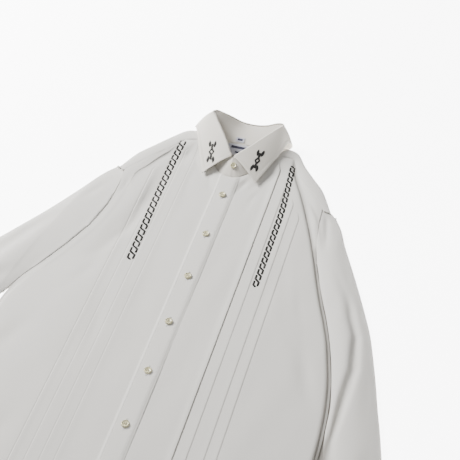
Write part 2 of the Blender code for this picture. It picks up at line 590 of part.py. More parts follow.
def collar_leaf(material):
    """The leaf rolls over the stand's top edge and runs down to its outer edge."""
    grid, behind = [], []
    inside = FOLD_RADIUS - COLLAR_WALL
    stand = stand_grid()
    normals = surface_normals(stand, False)[len(STAND_ENDS):, -1]
    stand = stand[len(STAND_ENDS):]
    for row, line, normal in zip(LEAF_STEPS, stand, normals):
        top = line[-1]
        rise = (top - line[0]) / np.linalg.norm(top - line[0])
        points = [top - normal * COLLAR_WALL + rise * FOLD_RADIUS]
        backs = [top - normal * COLLAR_WALL + rise * inside]
        for turn in (0, 30, 60, 90):
            angle = math.radians(turn)
            spoke = normal * math.sin(angle) + rise * math.cos(angle)
            points.append(top + spoke * FOLD_RADIUS)
            backs.append(top + spoke * inside)
        start = points[-1]
        handle = np.array([glide(LEAF["row"], LEAF[k], row) for k in ("mx", "my", "mz")])
        edge = np.array([glide(LEAF["row"], LEAF[k], row) for k in ("ex", "ey", "ez")])
        edge[2] = max(edge[2], 0.0)
        for t in np.linspace(0, 1, LEAF_ROWS)[1:]:
            points.append((1 - t) ** 2 * start + 2 * t * (1 - t) * handle + t * t * edge)
        grid.append(points)
        behind.append(backs)
    return cloth("collar_leaf", np.array(grid), COLLAR_WALL, material, out=-1.0,
                 behind=np.array(behind))


def placket(material):
    """The buttoned strip, on top of both fronts from the neck to the hem."""
    half = PLACKET_WIDTH / 2
    steps = crowded(FRONT_ROWS)
    grid = []
    for x in (-half, -half + PLACKET_EDGE, -half / 2, 0.0, half / 2, half - PLACKET_EDGE, half):
        top_y, top_z = neck_edge(abs(x), LEFT_SIDE, LEFT_YOKE_TOP)
        y = hem_y(x) + FRONT_HEM_LIFT
        y = y + (top_y - y) * steps
        z = body_level(x, y, top_y, top_z) + PLACKET_LIFT + WALL
        grid.append(np.stack([np.full(len(y), x), y, z], axis=1))
    return cloth("placket", np.array(grid), WALL, material)


def button(name, centre, up, diameter, material):
    """A round button with a rim and a dished middle."""
    radius, thick = diameter / 2, BUTTON_THICKNESS
    profile = np.array([(0.0, 0.0), (0.72, 0.0), (1.0, 0.35), (0.96, 0.85), (0.8, 1.0),
                        (0.56, 0.7), (0.0, 0.66)])
    profile = profile * (radius, thick)
    up = np.array(up, float) / np.linalg.norm(up)
    across = np.cross(up, (0.0, 1.0, 0.0))
    across = across / np.linalg.norm(across)
    forward = np.cross(up, across)
    verts = [centre + up * profile[0][1]]
    for r, h in profile[1:-1]:
        for k in range(BUTTON_TURNS):
            angle = 2 * math.pi * k / BUTTON_TURNS
            spoke = across * math.cos(angle) + forward * math.sin(angle)
            verts.append(centre + spoke * r + up * h)
    verts.append(centre + up * profile[-1][1])
    faces = []
    rings = len(profile) - 2
    for k in range(BUTTON_TURNS):
        n = (k + 1) % BUTTON_TURNS
        faces.append([0, 1 + n, 1 + k])
        for i in range(rings - 1):
            a = 1 + i * BUTTON_TURNS
            faces.append([a + k, a + n, a + BUTTON_TURNS + n, a + BUTTON_TURNS + k])
        a = 1 + (rings - 1) * BUTTON_TURNS
        faces.append([a + k, a + n, len(verts) - 1])
    return solid(name, np.array(verts) * MM, faces, material)


def buttons(material):
    """Seven down the front, one on the collar stand and one on each cuff."""
    neck_y, neck_z = neck_edge(0.0, LEFT_SIDE, LEFT_YOKE_TOP)
    for i in range(FRONT_BUTTONS):
        y = FIRST_BUTTON_Y - i * BUTTON_SPACING
        under = body_level(0.0, y + BUTTON_DIAMETER / 2, neck_y, neck_z)
        centre = np.array([BUTTON_X, y, under + PLACKET_LIFT + WALL + BUTTON_LIFT])
        button(f"button_{i + 1}", centre, (0, 0, 1), BUTTON_DIAMETER, material)
    seam, top, _, normal = stand_frame(COLLAR_BUTTON_ROW)
    centre = seam + (top - seam) * COLLAR_BUTTON_REACH + normal * SMALL_BUTTON_LIFT
    button("button_collar", centre, normal, COLLAR_BUTTON_DIAMETER, material)
    for name, cuff in (("cuff_button_left", LEFT_CUFF), ("cuff_button_right", RIGHT_CUFF)):
        inner = np.array([cuff["in_x"][1:3].mean(), cuff["in_y"][1:3].mean()])
        outer = np.array([cuff["out_x"][1:3].mean(), cuff["out_y"][1:3].mean()])
        place = inner + (outer - inner) * 0.5
        level = cuff["high"][1:3].mean() + SMALL_BUTTON_LIFT
        button(name, np.array([place[0], place[1], level]), (0, 0, 1),
               CUFF_BUTTON_DIAMETER, material)


def neck_label(material):
    """A bare woven label on the inside of the yoke."""
    centre = list(YOKE["tx"]).index(3.0)
    section = yoke_section(centre)
    grid = []
    for x in np.linspace(-LABEL_WIDTH / 2, LABEL_WIDTH / 2, 5):
        y = np.linspace(LABEL_TOP_Y - LABEL_LENGTH, LABEL_TOP_Y, 6)
        z = between(section[:, 1], section[:, 2], y) + WALL + LABEL_LIFT + LABEL_WALL
        grid.append(np.stack([np.full(len(y), x), y, z], axis=1))
    return cloth("neck_label", np.array(grid), LABEL_WALL, material)


def size_tab(material):
    """A small bare tab on the inside of the stand, above the label."""
    grid = []
    for row in np.linspace(*TAB_ROWS, 3):
        seam, top, _, normal = stand_frame(row)
        line = []
        for reach in np.linspace(*TAB_REACH, 3):
            point = seam + (top - seam) * reach
            line.append(point - normal * (COLLAR_WALL + TAB_LIFT + LABEL_WALL))
        grid.append(line)
    return cloth("size_tab", np.array(grid), LABEL_WALL, material, out=-1.0)


def settle():
    """Put the middle of the whole shirt's footprint at the origin, on the surface."""
    low, high = np.full(3, 1e9), np.full(3, -1e9)
    for piece in bpy.data.objects:
        points = np.array([v.co[:] for v in piece.data.vertices])
        low, high = np.minimum(low, points.min(0)), np.maximum(high, points.max(0))
    shift = np.array([-(low[0] + high[0]) / 2, -(low[1] + high[1]) / 2, -low[2]])
    for piece in bpy.data.objects:
        for v in piece.data.vertices:
            v.co = tuple(np.array(v.co[:]) + shift)


def main():
    for old in list(bpy.data.objects):
        bpy.data.objects.remove(old, do_unlink=True)
    body = fabric("shirt cloth", (0.63, 0.62, 0.59), 0.85)
    trim = fabric("collar and cuff cloth", (0.66, 0.63, 0.56), 0.85)
    pearl = fabric("pearly button", (0.62, 0.58, 0.36), 0.3)
    woven = fabric("label weave", (0.55, 0.57, 0.66), 0.8)
    back(body)
    front("front_left", 1, LEFT_SIDE, LEFT_TUCKS, LEFT_YOKE_TOP, LEFT_YOKE_END, (12.6,), body)
    front("front_right", -1, RIGHT_SIDE, RIGHT_TUCKS, RIGHT_YOKE_TOP, RIGHT_YOKE_END,
          (-12.0, -4.0, 4.0, 12.0), body)
    yoke(body)
    placket(body)
    tube("sleeve_left", LEFT_SLEEVE, WALL, body, -1.0, SLEEVE_FOLDS, LEFT_ARMHOLE,
         ARMHOLE_LEVEL["left"])
    tube("sleeve_right", RIGHT_SLEEVE, WALL, body, 1.0, SLEEVE_FOLDS, RIGHT_ARMHOLE,
         ARMHOLE_LEVEL["right"])
    tube("cuff_left", LEFT_CUFF, CUFF_WALL, trim, -1.0, SLEEVE_FOLDS)
    tube("cuff_right", RIGHT_CUFF, CUFF_WALL, trim, 1.0, SLEEVE_FOLDS)
    collar_stand(trim)
    collar_leaf(trim)
    buttons(pearl)
    neck_label(woven)
    size_tab(woven)
    settle()


main()
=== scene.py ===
# %% [markdown]
# # An embroidered shirt, laid flat on its back
#
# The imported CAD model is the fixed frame: it says where every piece lies. This script dresses it.
# Each cloth piece gets a finer shell with its folds, tucks and edges. Embroidery, stitching,
# buttonholes and thread are laid on those shells. Left and right are the wearer's.
#
# The cells below work in millimetres, in a layout whose origin is the first front button, with
# z = 0 on the surface that the shirt lies on. `SHIFT` takes the layout to the CAD's own frame.
#
# Cloth could be draped by a simulation. This shirt lies still and nearly flat, and its few folds
# are known, so formulas on grids of points give it more exactly and in a few seconds.

# %% Load the frame
import math

import bpy
import numpy as np
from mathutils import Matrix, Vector
from mathutils.bvhtree import BVHTree


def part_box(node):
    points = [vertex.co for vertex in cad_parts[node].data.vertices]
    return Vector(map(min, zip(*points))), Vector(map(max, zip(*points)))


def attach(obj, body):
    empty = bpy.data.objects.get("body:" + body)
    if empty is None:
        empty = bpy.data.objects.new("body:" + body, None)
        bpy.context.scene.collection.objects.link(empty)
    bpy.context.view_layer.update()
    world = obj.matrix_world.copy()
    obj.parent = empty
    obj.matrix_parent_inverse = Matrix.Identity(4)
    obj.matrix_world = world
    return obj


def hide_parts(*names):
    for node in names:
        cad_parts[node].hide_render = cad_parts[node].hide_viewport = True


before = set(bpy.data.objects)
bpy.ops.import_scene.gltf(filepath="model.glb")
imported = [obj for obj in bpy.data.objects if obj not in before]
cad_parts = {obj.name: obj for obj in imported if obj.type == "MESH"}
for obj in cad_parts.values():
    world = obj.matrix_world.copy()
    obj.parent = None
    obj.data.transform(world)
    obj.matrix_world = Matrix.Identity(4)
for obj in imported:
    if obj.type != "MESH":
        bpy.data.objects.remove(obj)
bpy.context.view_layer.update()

MM = 0.001
BUTTON_PLACE = (0.8, -1.0)
button_low, button_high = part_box("button_1")
SHIFT = np.array([(button_low[0] + button_high[0]) / 2 / MM - BUTTON_PLACE[0],
                  (button_low[1] + button_high[1]) / 2 / MM - BUTTON_PLACE[1], 0.0])

print("from the layout to the CAD's frame, mm:", SHIFT.round(2))

# %% [markdown]
# ## Tables and curves
#
# A pattern maker measures a few points and draws a fair curve through them. `table` keeps such
# points as named columns, and `glide` is the curve, a cubic Hermite: with t the share of the way
# from row a to row b, p(t) = (1+2t)(1-t)^2 a + t(1-t)^2 a' + t^2(3-2t) b + t^2(t-1) b'. `refine`
# does the same between whole rows of points. Blender's own curve objects could do it too, but
# arrays can be measured, joined into grids and moved as a whole.

# %% Tables and curves


def table(names, rows):
    """Rows of numbers as named columns."""
    return dict(zip(names.split(), np.array(rows, float).T))


def smooth(t):
    """s(t) = t^2 (3 - 2t), with t held between 0 and 1."""
    t = np.clip(t, 0.0, 1.0)
    return t * t * (3.0 - 2.0 * t)


def glide(keys, values, at):
    """The Hermite curve above, with each slope taken from the neighbouring rows."""
    at = np.clip(np.asarray(at, float), keys[0], keys[-1])
    slope = np.gradient(values, keys)
    i = np.clip(np.searchsorted(keys, at, side="right") - 1, 0, len(keys) - 2)
    span = keys[i + 1] - keys[i]
    t = (at - keys[i]) / span
    start = (1 + 2 * t) * (1 - t) ** 2 * values[i] + t * (1 - t) ** 2 * span * slope[i]
    end = t * t * (3 - 2 * t) * values[i + 1] + t * t * (t - 1) * span * slope[i + 1]
    return start + end


def refine(rows, steps):
    """The Hermite curve through whole rows of points, with this many steps from row to row."""
    rows = np.asarray(rows, float)
    count = len(rows)
    at = np.linspace(0, count - 1, (count - 1) * steps + 1)
    i = np.minimum(at.astype(int), count - 2)
    t = (at - i).reshape((-1,) + (1,) * (rows.ndim - 1))
    slope = np.gradient(rows, axis=0)
    start = (1 + 2 * t) * (1 - t) ** 2 * rows[i] + t * (1 - t) ** 2 * slope[i]
    return start + t * t * (3 - 2 * t) * rows[i + 1] + t * t * (t - 1) * slope[i + 1]


print("smooth, from 0 to 1 in quarters:", smooth(np.linspace(0, 1, 5)).round(3))

# %% [markdown]
# ## Soft folds
#
# Cotton keeps shallow folds where it was worn or packed. They could be sculpted with a brush.
# Here each fold is a chain of points with a width and a depth, so it lies where it was measured.
# Between the folds a few long sine waves keep the cloth from looking like a board.

# %% Soft folds
RIPPLE_WAVES, SHORTEST_WAVE, LONGEST_WAVE = 9, 28, 120
ALONG_SHIRT = 0.55


def pressed(folds, x, y):
    """How far the folds press the cloth down: depth * exp(-(distance / width)^2) off each chain."""
    total = np.zeros(np.shape(x))
    for number in np.unique(folds["fold"]):
        pick = folds["fold"] == number
        fx, fy = folds["x"][pick], folds["y"][pick]
        wide, deep = folds["width"][pick], folds["depth"][pick]
        best, depth = np.full(np.shape(x), 1e9), np.zeros(np.shape(x))
        for i in range(len(fx) - 1):
            ux, uy = fx[i + 1] - fx[i], fy[i + 1] - fy[i]
            t = np.clip(((x - fx[i]) * ux + (y - fy[i]) * uy) / (ux * ux + uy * uy), 0, 1)
            away = np.hypot(x - fx[i] - t * ux, y - fy[i] - t * uy)
            width = wide[i] + (wide[i + 1] - wide[i]) * t
            here = (deep[i] + (deep[i + 1] - deep[i]) * t) * np.exp(-((away / width) ** 2))
            depth = np.where(away < best, here, depth)
            best = np.minimum(best, away)
        total = total + depth
    return total


def ripple(x, y, seed, size, lean=0.0):
    """Soft uneven cloth: size times a mean of sine waves that run mostly along the shirt."""
    draw = np.random.default_rng(seed)
    total = np.zeros(np.shape(x))
    for _ in range(RIPPLE_WAVES):
        length = draw.uniform(SHORTEST_WAVE, LONGEST_WAVE)
        angle = lean + draw.normal(0, 0.5)
        phase = draw.uniform(0, 2 * math.pi)
        across = x * math.cos(angle) + y * math.sin(angle) * ALONG_SHIRT
        total = total + np.sin(across * 2 * math.pi / length + phase) * length / LONGEST_WAVE
    return size * total / RIPPLE_WAVES ** 0.5


one_fold = table("fold x y width depth", [(1, 0, 0, 5, 3), (1, 0, 10, 5, 3)])
print("a fold 3 mm deep and 5 mm wide presses, on its line and 5 mm off it, mm:",
      pressed(one_fold, np.array([0.0, 5.0]), 5.0).round(2))

# %% [markdown]
# ## A mesh from arrays
#
# All pieces are meshes made from whole arrays, with no loop over points. `foreach_set` copies an
# array into Blender at once, which is many times faster than adding faces one by one. The points
# go in at their final place, so each object itself stays at the origin.

# %% A mesh from arrays
SHARP_ANGLE = math.radians(55)


def mesh_object(name, verts, quads, material, spots=None):
    """A smooth-shaded mesh from arrays of millimetre points and four-cornered faces.

    `spots` names numbers kept at each point, which the materials read as attributes."""
    mesh = bpy.data.meshes.new(name)
    verts = (np.asarray(verts, float) + SHIFT) * MM
    quads = np.asarray(quads, int)
    mesh.vertices.add(len(verts))
    mesh.vertices.foreach_set("co", verts.ravel())
    mesh.loops.add(quads.size)
    mesh.loops.foreach_set("vertex_index", quads.ravel())
    mesh.polygons.add(len(quads))
    mesh.polygons.foreach_set("loop_start", np.arange(len(quads)) * 4)
    mesh.polygons.foreach_set("loop_total", np.full(len(quads), 4))
    mesh.update(calc_edges=True)
    for spot, values in (spots or {}).items():
        layer = mesh.attributes.new(spot, "FLOAT", "POINT")
        layer.data.foreach_set("value", np.ascontiguousarray(values, np.float32).ravel())
    mesh.validate()
    mesh.shade_smooth()
    mesh.set_sharp_from_angle(angle=SHARP_ANGLE)
    piece = bpy.data.objects.new(name, mesh)
    for one in material if isinstance(material, list) else [material]:
        mesh.materials.append(one)
    bpy.context.collection.objects.link(piece)
    size = np.ptp(verts, axis=0) / MM
    print(f"{name}: {len(verts)} points, {size[0]:.1f} x {size[1]:.1f} x {size[2]:.1f} mm")
    return piece


print("edges sharper than", round(math.degrees(SHARP_ANGLE)), "degrees stay crisp")

# %% [markdown]
# ## Grids
#
# Most pieces are grids, rows by columns of points, open or closed to a ring. The normal of a
# grid is the cross product of its two directions, and its faces join each point to its three
# neighbours.

# %% Grids


def grid_normals(points, ring):
    """Unit normals of a grid, the cross product of its two directions."""
    if ring:
        along = np.roll(points, -1, axis=0) - np.roll(points, 1, axis=0)
    else:
        along = np.gradient(points, axis=0)
    normal = np.cross(along, np.gradient(points, axis=1))
    return normal / np.maximum(np.linalg.norm(normal, axis=2, keepdims=True), 1e-9)


def grid_quads(rows, columns, ring, flip, base=0):
    """Four-cornered faces of a grid of points, turned over where flip is true."""
    i, j = np.meshgrid(np.arange(rows if ring else rows - 1), np.arange(columns - 1), indexing="ij")
    k = (i + 1) % rows
    quads = np.stack([i * columns + j, k * columns + j, k * columns + j + 1,
                      i * columns + j + 1], -1).reshape(-1, 4) + base
    return quads[:, ::-1] if flip else quads


print("faces in a grid of 3 by 4 points:", len(grid_quads(3, 4, False, False)))

# %% [markdown]
# ## A wall of cloth
#
# Real cloth is a thin sheet with two sides and an edge. A Solidify modifier would give one, but
# here the tucks raise the outside alone, so `wall` lays the thickness itself: the inner points
# are p - n thick, with n the unit normal, and strips of faces close the edges.

# %% A wall of cloth


def wall(name, points, thick, material, out=1.0, ring=False, relief=None, shade=None):
    """A closed wall of cloth behind a grid of outer points. Returns the piece and outer grid."""
    normal = grid_normals(points, ring) * out
    outer = points if relief is None else points + normal * relief[..., None]
    rows, columns = points.shape[:2]
    verts = np.concatenate([outer.reshape(-1, 3), (points - normal * thick).reshape(-1, 3)])
    base = rows * columns
    faces = [grid_quads(rows, columns, ring, out < 0),
             grid_quads(rows, columns, ring, out > 0, base)]
    down, across = np.arange(rows) * columns, np.arange(columns)
    edges = [(down, out > 0), (down + columns - 1, out < 0)]
    if not ring:
        edges += [(across, out < 0), (across + (rows - 1) * columns, out > 0)]
    for edge, flip in edges:
        if ring:
            edge = np.append(edge, edge[0])
        side = np.stack([edge[:-1], edge[1:], edge[1:] + base, edge[:-1] + base], -1)
        faces.append(side if flip else side[:, ::-1])
    spots = None if shade is None else {"shade": np.stack([shade, shade])}
    return mesh_object(name, verts, np.concatenate(faces), material, spots), outer

# %% [markdown]
# ## Ribbons of thread
#
# A stitch is a short, slightly flattened rope. Curve objects with a bevel could show it, but a
# mesh can be wider than it is high and can taper. The cross-section at angle a is
# (half cos a, high max(sin a, -0.25)), carried along the path with the surface's normal as up.

# %% Ribbons of thread
THREAD_FLOOR = -0.25


def tangents(path):
    """Unit directions along a path."""
    step = np.gradient(path, axis=0)
    return step / np.maximum(np.linalg.norm(step, axis=1, keepdims=True), 1e-9)


def strands(name, runs, material, round_steps=10):
    """Rounded ribbons of thread. Each run is path, normals, half width at each point, height."""
    verts, faces, base, along = [], [], 0, []
    turn = np.linspace(0, 2 * math.pi, round_steps, endpoint=False)
    for path, normal, half, high in runs:
        side = np.cross(tangents(path), normal)
        side = side / np.linalg.norm(side, axis=1, keepdims=True)
        half = np.broadcast_to(half, len(path))
        lift = np.maximum(np.sin(turn), THREAD_FLOOR) * high
        ring = (path[:, None] + side[:, None] * (np.cos(turn)[None, :, None] * half[:, None, None])
                + normal[:, None] * lift[None, :, None])
        count = len(path)
        verts.append(ring.reshape(-1, 3))
        length = np.append(0.0, np.linalg.norm(np.diff(path, axis=0), axis=1).cumsum())
        along.append(length[:, None] + 0.35 * np.sin(turn)[None])
        i, j = np.meshgrid(np.arange(count - 1), np.arange(round_steps), indexing="ij")
        k = (j + 1) % round_steps
        faces.append(np.stack([i * round_steps + j, i * round_steps + k, (i + 1) * round_steps + k,
                               (i + 1) * round_steps + j], -1).reshape(-1, 4) + base)
        for end, flip in ((0, False), (count - 1, True)):
            first = base + end * round_steps
            for m in range(1, round_steps // 2):
                quad = [first + m - 1, first + m, first + round_steps - 1 - m,
                        first + (round_steps - m) % round_steps]
                faces.append(np.array([quad[::-1] if flip else quad]))
        base += count * round_steps
    return mesh_object(name, np.concatenate(verts), np.concatenate(faces), material,
                       {"along": np.concatenate(along)})


print("direction of a line along Y:", tangents(np.array([(0.0, 0, 0), (0, 2, 0), (0, 4, 0)]))[0])

# %% [markdown]
# ## Shader helpers
#
# Every finish starts from Blender's Principled shader. Uniform values are set on its own
# sockets. A pattern is added as a few nodes: a blend of two colours, a cloud of noise, a bump.
# Patterns read Object coordinates or an attribute of the piece, so they stay on the cloth.

# %% Shader helpers


def material(name, color, rough, sheen=0.0, coat=0.0):
    """A new material with these values on the shader. Returns it, its node tree and shader."""
    made = bpy.data.materials.new(name)
    made.use_nodes = True
    shader = made.node_tree.nodes["Principled BSDF"]
    shader.inputs["Base Color"].default_value = (*color, 1.0)
    shader.inputs["Roughness"].default_value = rough
    shader.inputs["Sheen Weight"].default_value = sheen
    shader.inputs["Coat Weight"].default_value = coat
    return made, made.node_tree, shader


def tint(color, share):
    """The colour times a share, with no channel over 1."""
    return [min(c * share, 1.0) for c in color]


def blend(tree, low, high, factor):
    """The colour low + factor (high - low). Returns the mix node."""
    mix = tree.nodes.new("ShaderNodeMix")
    mix.data_type = "RGBA"
    mix.inputs["A"].default_value = (*low, 1.0)
    mix.inputs["B"].default_value = (*high, 1.0)
    tree.links.new(factor, mix.inputs["Factor"])
    return mix


def noise(tree, scale, detail, distortion=0.0):
    """A cloud of noise on Object coordinates. Returns its value."""
    place = tree.nodes.new("ShaderNodeTexCoord")
    cloud = tree.nodes.new("ShaderNodeTexNoise")
    cloud.inputs["Scale"].default_value = scale
    cloud.inputs["Detail"].default_value = detail
    cloud.inputs["Distortion"].default_value = distortion
    tree.links.new(place.outputs["Object"], cloud.inputs["Vector"])
    return cloud.outputs["Fac"]


def raise_surface(tree, shader, height, strength, distance):
    """Turn the normals as if the surface were raised by height times distance mm."""
    bump = tree.nodes.new("ShaderNodeBump")
    bump.inputs["Strength"].default_value = strength
    bump.inputs["Distance"].default_value = distance * MM
    tree.links.new(height, bump.inputs["Height"])
    tree.links.new(bump.outputs["Normal"], shader.inputs["Normal"])


print("a pale colour one tenth lighter:", tint((0.9, 0.95, 0.5), 1.1))

# %% [markdown]
# ## Cotton
#
# The shirt is pale poplin: rough, nearly one tone, with a weave so fine that it only softens the
# light. A picture of cloth could be wrapped on it. Two crossed waves, multiplied and used as a
# bump, give the weave at its real size with no picture. A cloud of noise shifts the tone by one
# per cent or so, and the attribute "shade" darkens the bottoms of deep creases, where real cloth
# gets little light and which thick walls can't close as tightly as real cloth does.

# %% Cotton
# The dark colour of painted shade, used at the bottoms of deep creases.
PAINTED_SHADE_COLOR = (0.15, 0.135, 0.115)
WEAVE_BUMP = 0.06
# A wave texture at scale 1 repeats every pi / 10 units.
WAVE_UNIT = math.pi / 10
CLOTH_ROUGH, CLOTH_SHEEN = 0.88, 0.12
CLOUD_SCALE, CLOUD_DETAIL = 14.0, 3.0


def cotton(name, color, blotch, weave=0.32):
    """Woven cloth: color, mottled by `blotch`, with a plain weave `weave` mm across in the bump.

    The attribute "shade" takes it towards a dark brown-grey: painted shade for the bottoms of deep
    creases."""
    made, tree, shader = material(name, color, CLOTH_ROUGH, sheen=CLOTH_SHEEN)
    nodes, link = tree.nodes, tree.links.new
    tone = blend(tree, tint(color, 1 - blotch), tint(color, 1 + blotch),
                 noise(tree, CLOUD_SCALE, CLOUD_DETAIL))
    crease = nodes.new("ShaderNodeAttribute")
    crease.attribute_name = "shade"
    # Painted shade: the "shade" attribute darkens the cloth towards a dark brown-grey in deep
    # creases.
    deep = blend(tree, color, PAINTED_SHADE_COLOR, crease.outputs["Fac"])
    link(tone.outputs["Result"], deep.inputs["A"])
    link(deep.outputs["Result"], shader.inputs["Base Color"])
    place = nodes.new("ShaderNodeTexCoord")
    both = nodes.new("ShaderNodeMath")
    both.operation = "MULTIPLY"
    for number, axis in enumerate("XY"):
        wave = nodes.new("ShaderNodeTexWave")
        wave.bands_direction = axis
        wave.inputs["Scale"].default_value = WAVE_UNIT / (weave * MM)
        wave.inputs["Distortion"].default_value = 0.6
        link(place.outputs["Object"], wave.inputs["Vector"])
        link(wave.outputs["Fac"], both.inputs[number])
    raise_surface(tree, shader, both.outputs["Value"], 0.25, WEAVE_BUMP)
    return made


BODY_COLOR = (0.645, 0.625, 0.583)
TRIM_COLOR = (0.64, 0.605, 0.54)
body_cloth = cotton("shirt cloth fine", BODY_COLOR, 0.012)
placket_weave = cotton("placket cloth fine", [c * 1.03 for c in BODY_COLOR], 0.012)
trim_cloth = cotton("collar and cuff cloth fine", TRIM_COLOR, 0.015)
print("cloths:", body_cloth.name, "|", placket_weave.name, "|", trim_cloth.name)

# %% [markdown]
# ## Thread and pearl
#
# Thread is twisted from strands, so it shows fine bands along its length, lower and darker
# between them. Each ribbon carries its own length as the attribute "along", and a wave on that
# number makes the bands wherever the stitch turns. The buttons are yellowish pearl plastic: two
# near colours in soft folded bands under a clear coat. The label is a coarser weave.

# %% Thread and pearl
THREAD_BUMP = 0.1
PEARL_ROUGH, PEARL_COAT = 0.26, 0.6
PEARL_SCALE, PEARL_DETAIL, PEARL_FOLDING = 260.0, 4.0, 1.6


def thread(name, color, twist, rough=0.6, sheen=0.25, specular=0.5):
    """Thread: fine bands every `twist` mm along each stitch, darker and lower between them."""
    made, tree, shader = material(name, color, rough, sheen)
    shader.inputs["Specular IOR Level"].default_value = specular
    nodes, link = tree.nodes, tree.links.new
    along = nodes.new("ShaderNodeAttribute")
    along.attribute_name = "along"
    spread = nodes.new("ShaderNodeCombineXYZ")
    link(along.outputs["Fac"], spread.inputs["X"])
    wave = nodes.new("ShaderNodeTexWave")
    wave.inputs["Scale"].default_value = WAVE_UNIT / twist
    wave.inputs["Distortion"].default_value = 0.4
    link(spread.outputs["Vector"], wave.inputs["Vector"])
    tone = blend(tree, tint(color, 0.72), tint(color, 1.1), wave.outputs["Fac"])
    link(tone.outputs["Result"], shader.inputs["Base Color"])
    raise_surface(tree, shader, wave.outputs["Fac"], 0.5, THREAD_BUMP)
    return made


def shell_pearl(name, light, dark):
    """Pearly button plastic: two near colours in soft folded bands, under a clear coat."""
    made, tree, shader = material(name, light, PEARL_ROUGH, coat=PEARL_COAT)
    tone = blend(tree, dark, light, noise(tree, PEARL_SCALE, PEARL_DETAIL, PEARL_FOLDING))
    tree.links.new(tone.outputs["Result"], shader.inputs["Base Color"])
    return made


body_thread = thread("body thread", (0.70, 0.69, 0.66), 0.5)
trim_thread = thread("trim thread", (0.73, 0.70, 0.63), 0.5)
black_thread = thread("black embroidery thread", (0.014, 0.0132, 0.012), 0.6, 0.65, 0.04, 0.2)
button_thread = thread("button thread", (0.72, 0.68, 0.50), 0.5)
pearl = shell_pearl("yellowish pearl", (0.76, 0.72, 0.48), (0.60, 0.55, 0.32))
label_cloth = cotton("label cloth", (0.50, 0.50, 0.56), 0.05, 0.5)
label_bar = cotton("label bar", (0.035, 0.035, 0.06), 0.05, 0.5)
print("threads and plastic:", body_thread.name, "|", black_thread.name, "|", pearl.name)

# %% [markdown]
# ## The outline of the body
#
# A shirt front is cut with a round neck, a slanting yoke seam, a side seam and a curved tail. On
# the table its side rolls down into a crease beside the sleeve. The tables below are the ones
# that shaped the CAD solids, so that the shells lie on them. A front lies at FRONT_TOP over most
# of its area, rises to the collar and comes down to EDGE_LEVEL at the hem. All lengths are in mm.

# %% The outline of the body
WALL = 1.2
SEAM_GAP = 0.4
FRONT_TOP = 6.3
EDGE_LEVEL = 2.9
LIP = 8.0
HEM_DROP_LENGTH = 25.0
NECK_RISE_LENGTH = 45.0
HEM_SIDE_Y = -585.0
HEM_CURVE = 70.0
HALF_BODY = 258.0
FRONT_HEM_LIFT = 4.0

# The edge of the neck on both fronts, from the middle out to the shoulder.
NECK = table("x y z", [
    (-12, 42.0, 9.5), (0, 40.0, 9.5), (12, 42.0, 9.5), (17, 45.5, 9.6), (32, 60.0, 9.9),
    (45, 75.5, 10.4), (56, 90.5, 11.2), (63, 101.5, 12.2), (68, 111.5, 13.0)])

# The side of each front, by height up the body: the deep crease beside the sleeve, the strip
# outside it up to the armhole or side seam, and the levels of the crease and of that seam.
LEFT_SIDE = table("y crease width valley edge", [
    (-700, 254, 4, 2.9, 2.9), (-470, 255, 4, 2.9, 2.9), (-388, 255, 4, 2.9, 2.9),
    (-345, 252, 4, 2.9, 2.9), (-305, 246, 4, 2.9, 2.9), (-272, 238, 4, 2.9, 2.9),
    (-239, 229, 4, 2.9, 2.9), (-205, 217, 4, 2.9, 2.9), (-170, 203, 4, 2.9, 2.9),
    (-134, 190, 4, 2.9, 2.9), (-96, 177, 4, 2.9, 3.4), (-57, 163, 9, 3.2, 5.5),
    (-17, 147, 19, 3.4, 7.6), (17, 132.5, 30.5, 3.6, 8.6), (42, 121, 31, 3.8, 9.5),
    (62, 111, 23, 4.2, 10), (88, 100, 20, 5.5, 11), (112, 93, 20, 9.5, 12)])
RIGHT_SIDE = table("y crease width valley edge", [
    (-700, 254, 4, 2.9, 2.9), (-345, 254, 4, 2.9, 2.9), (-310, 253, 4, 2.9, 2.9),
    (-280, 248, 5, 3.6, 3.2), (-250, 235, 8, 5.2, 4.6), (-215, 213, 11, 6.2, 5.5),
    (-170, 190, 12, 6.3, 6.0), (-120, 170, 12, 6.3, 6.0), (-70, 159, 12, 6.3, 6.2),
    (-20, 155, 15, 6.6, 7.0), (12, 152, 20, 7.6, 8.6), (34, 139, 20.4, 8.0, 9.0),
    (54, 129, 20, 8.4, 9.5), (71, 118, 21, 8.8, 10), (88, 108, 21, 9.5, 11),
    (106, 96.7, 21, 11, 12)])
LEFT_YOKE_TOP, LEFT_YOKE_END = 112.0, 17.0
RIGHT_YOKE_TOP, RIGHT_YOKE_END = 106.0, 12.0
print("the neck is", 2 * NECK["x"][-1], "mm wide at the shoulders")

# %% [markdown]
# ## Edges and level of a front
#
# Four short functions read the tables: the hem, the yoke seam, the top edge round the neck, and
# the level. The tail is cut on a curve, -585 - 70 (1 - (|x|/258)^2.2).

# %% Edges and level of a front
HEM_POWER = 2.2
SEAM_RISE = 1.3


def hem_y(x):
    """The curved tail of the shirt: lowest at the middle, higher at the sides."""
    return HEM_SIDE_Y - HEM_CURVE * (1 - np.minimum(abs(x) / HALF_BODY, 1.0) ** HEM_POWER)


def seam_point(side, top, end, part):
    """The front yoke seam, part of the way from the neck end to the armhole."""
    y = top + (end - top) * part
    x = glide(side["y"], side["crease"], y) + part * glide(side["y"], side["width"], y)
    low, high = glide(side["y"], side["valley"], y), glide(side["y"], side["edge"], y)
    return x, y, low + (high - low) * smooth(SEAM_RISE * part)


def neck_edge(x, side, yoke_top):
    """The top edge of a front: round the neck, then straight out to the yoke seam."""
    out_x, out_y, out_z = seam_point(side, yoke_top, yoke_top - 1.0, 0.0)
    near = min(x, NECK["x"][-1])
    share = max(x - NECK["x"][-1], 0.0) / (out_x - NECK["x"][-1])
    y = glide(NECK["x"], NECK["y"], near)
    z = glide(NECK["x"], NECK["z"], near)
    return y + (out_y - y) * share, z + (out_z - z) * share


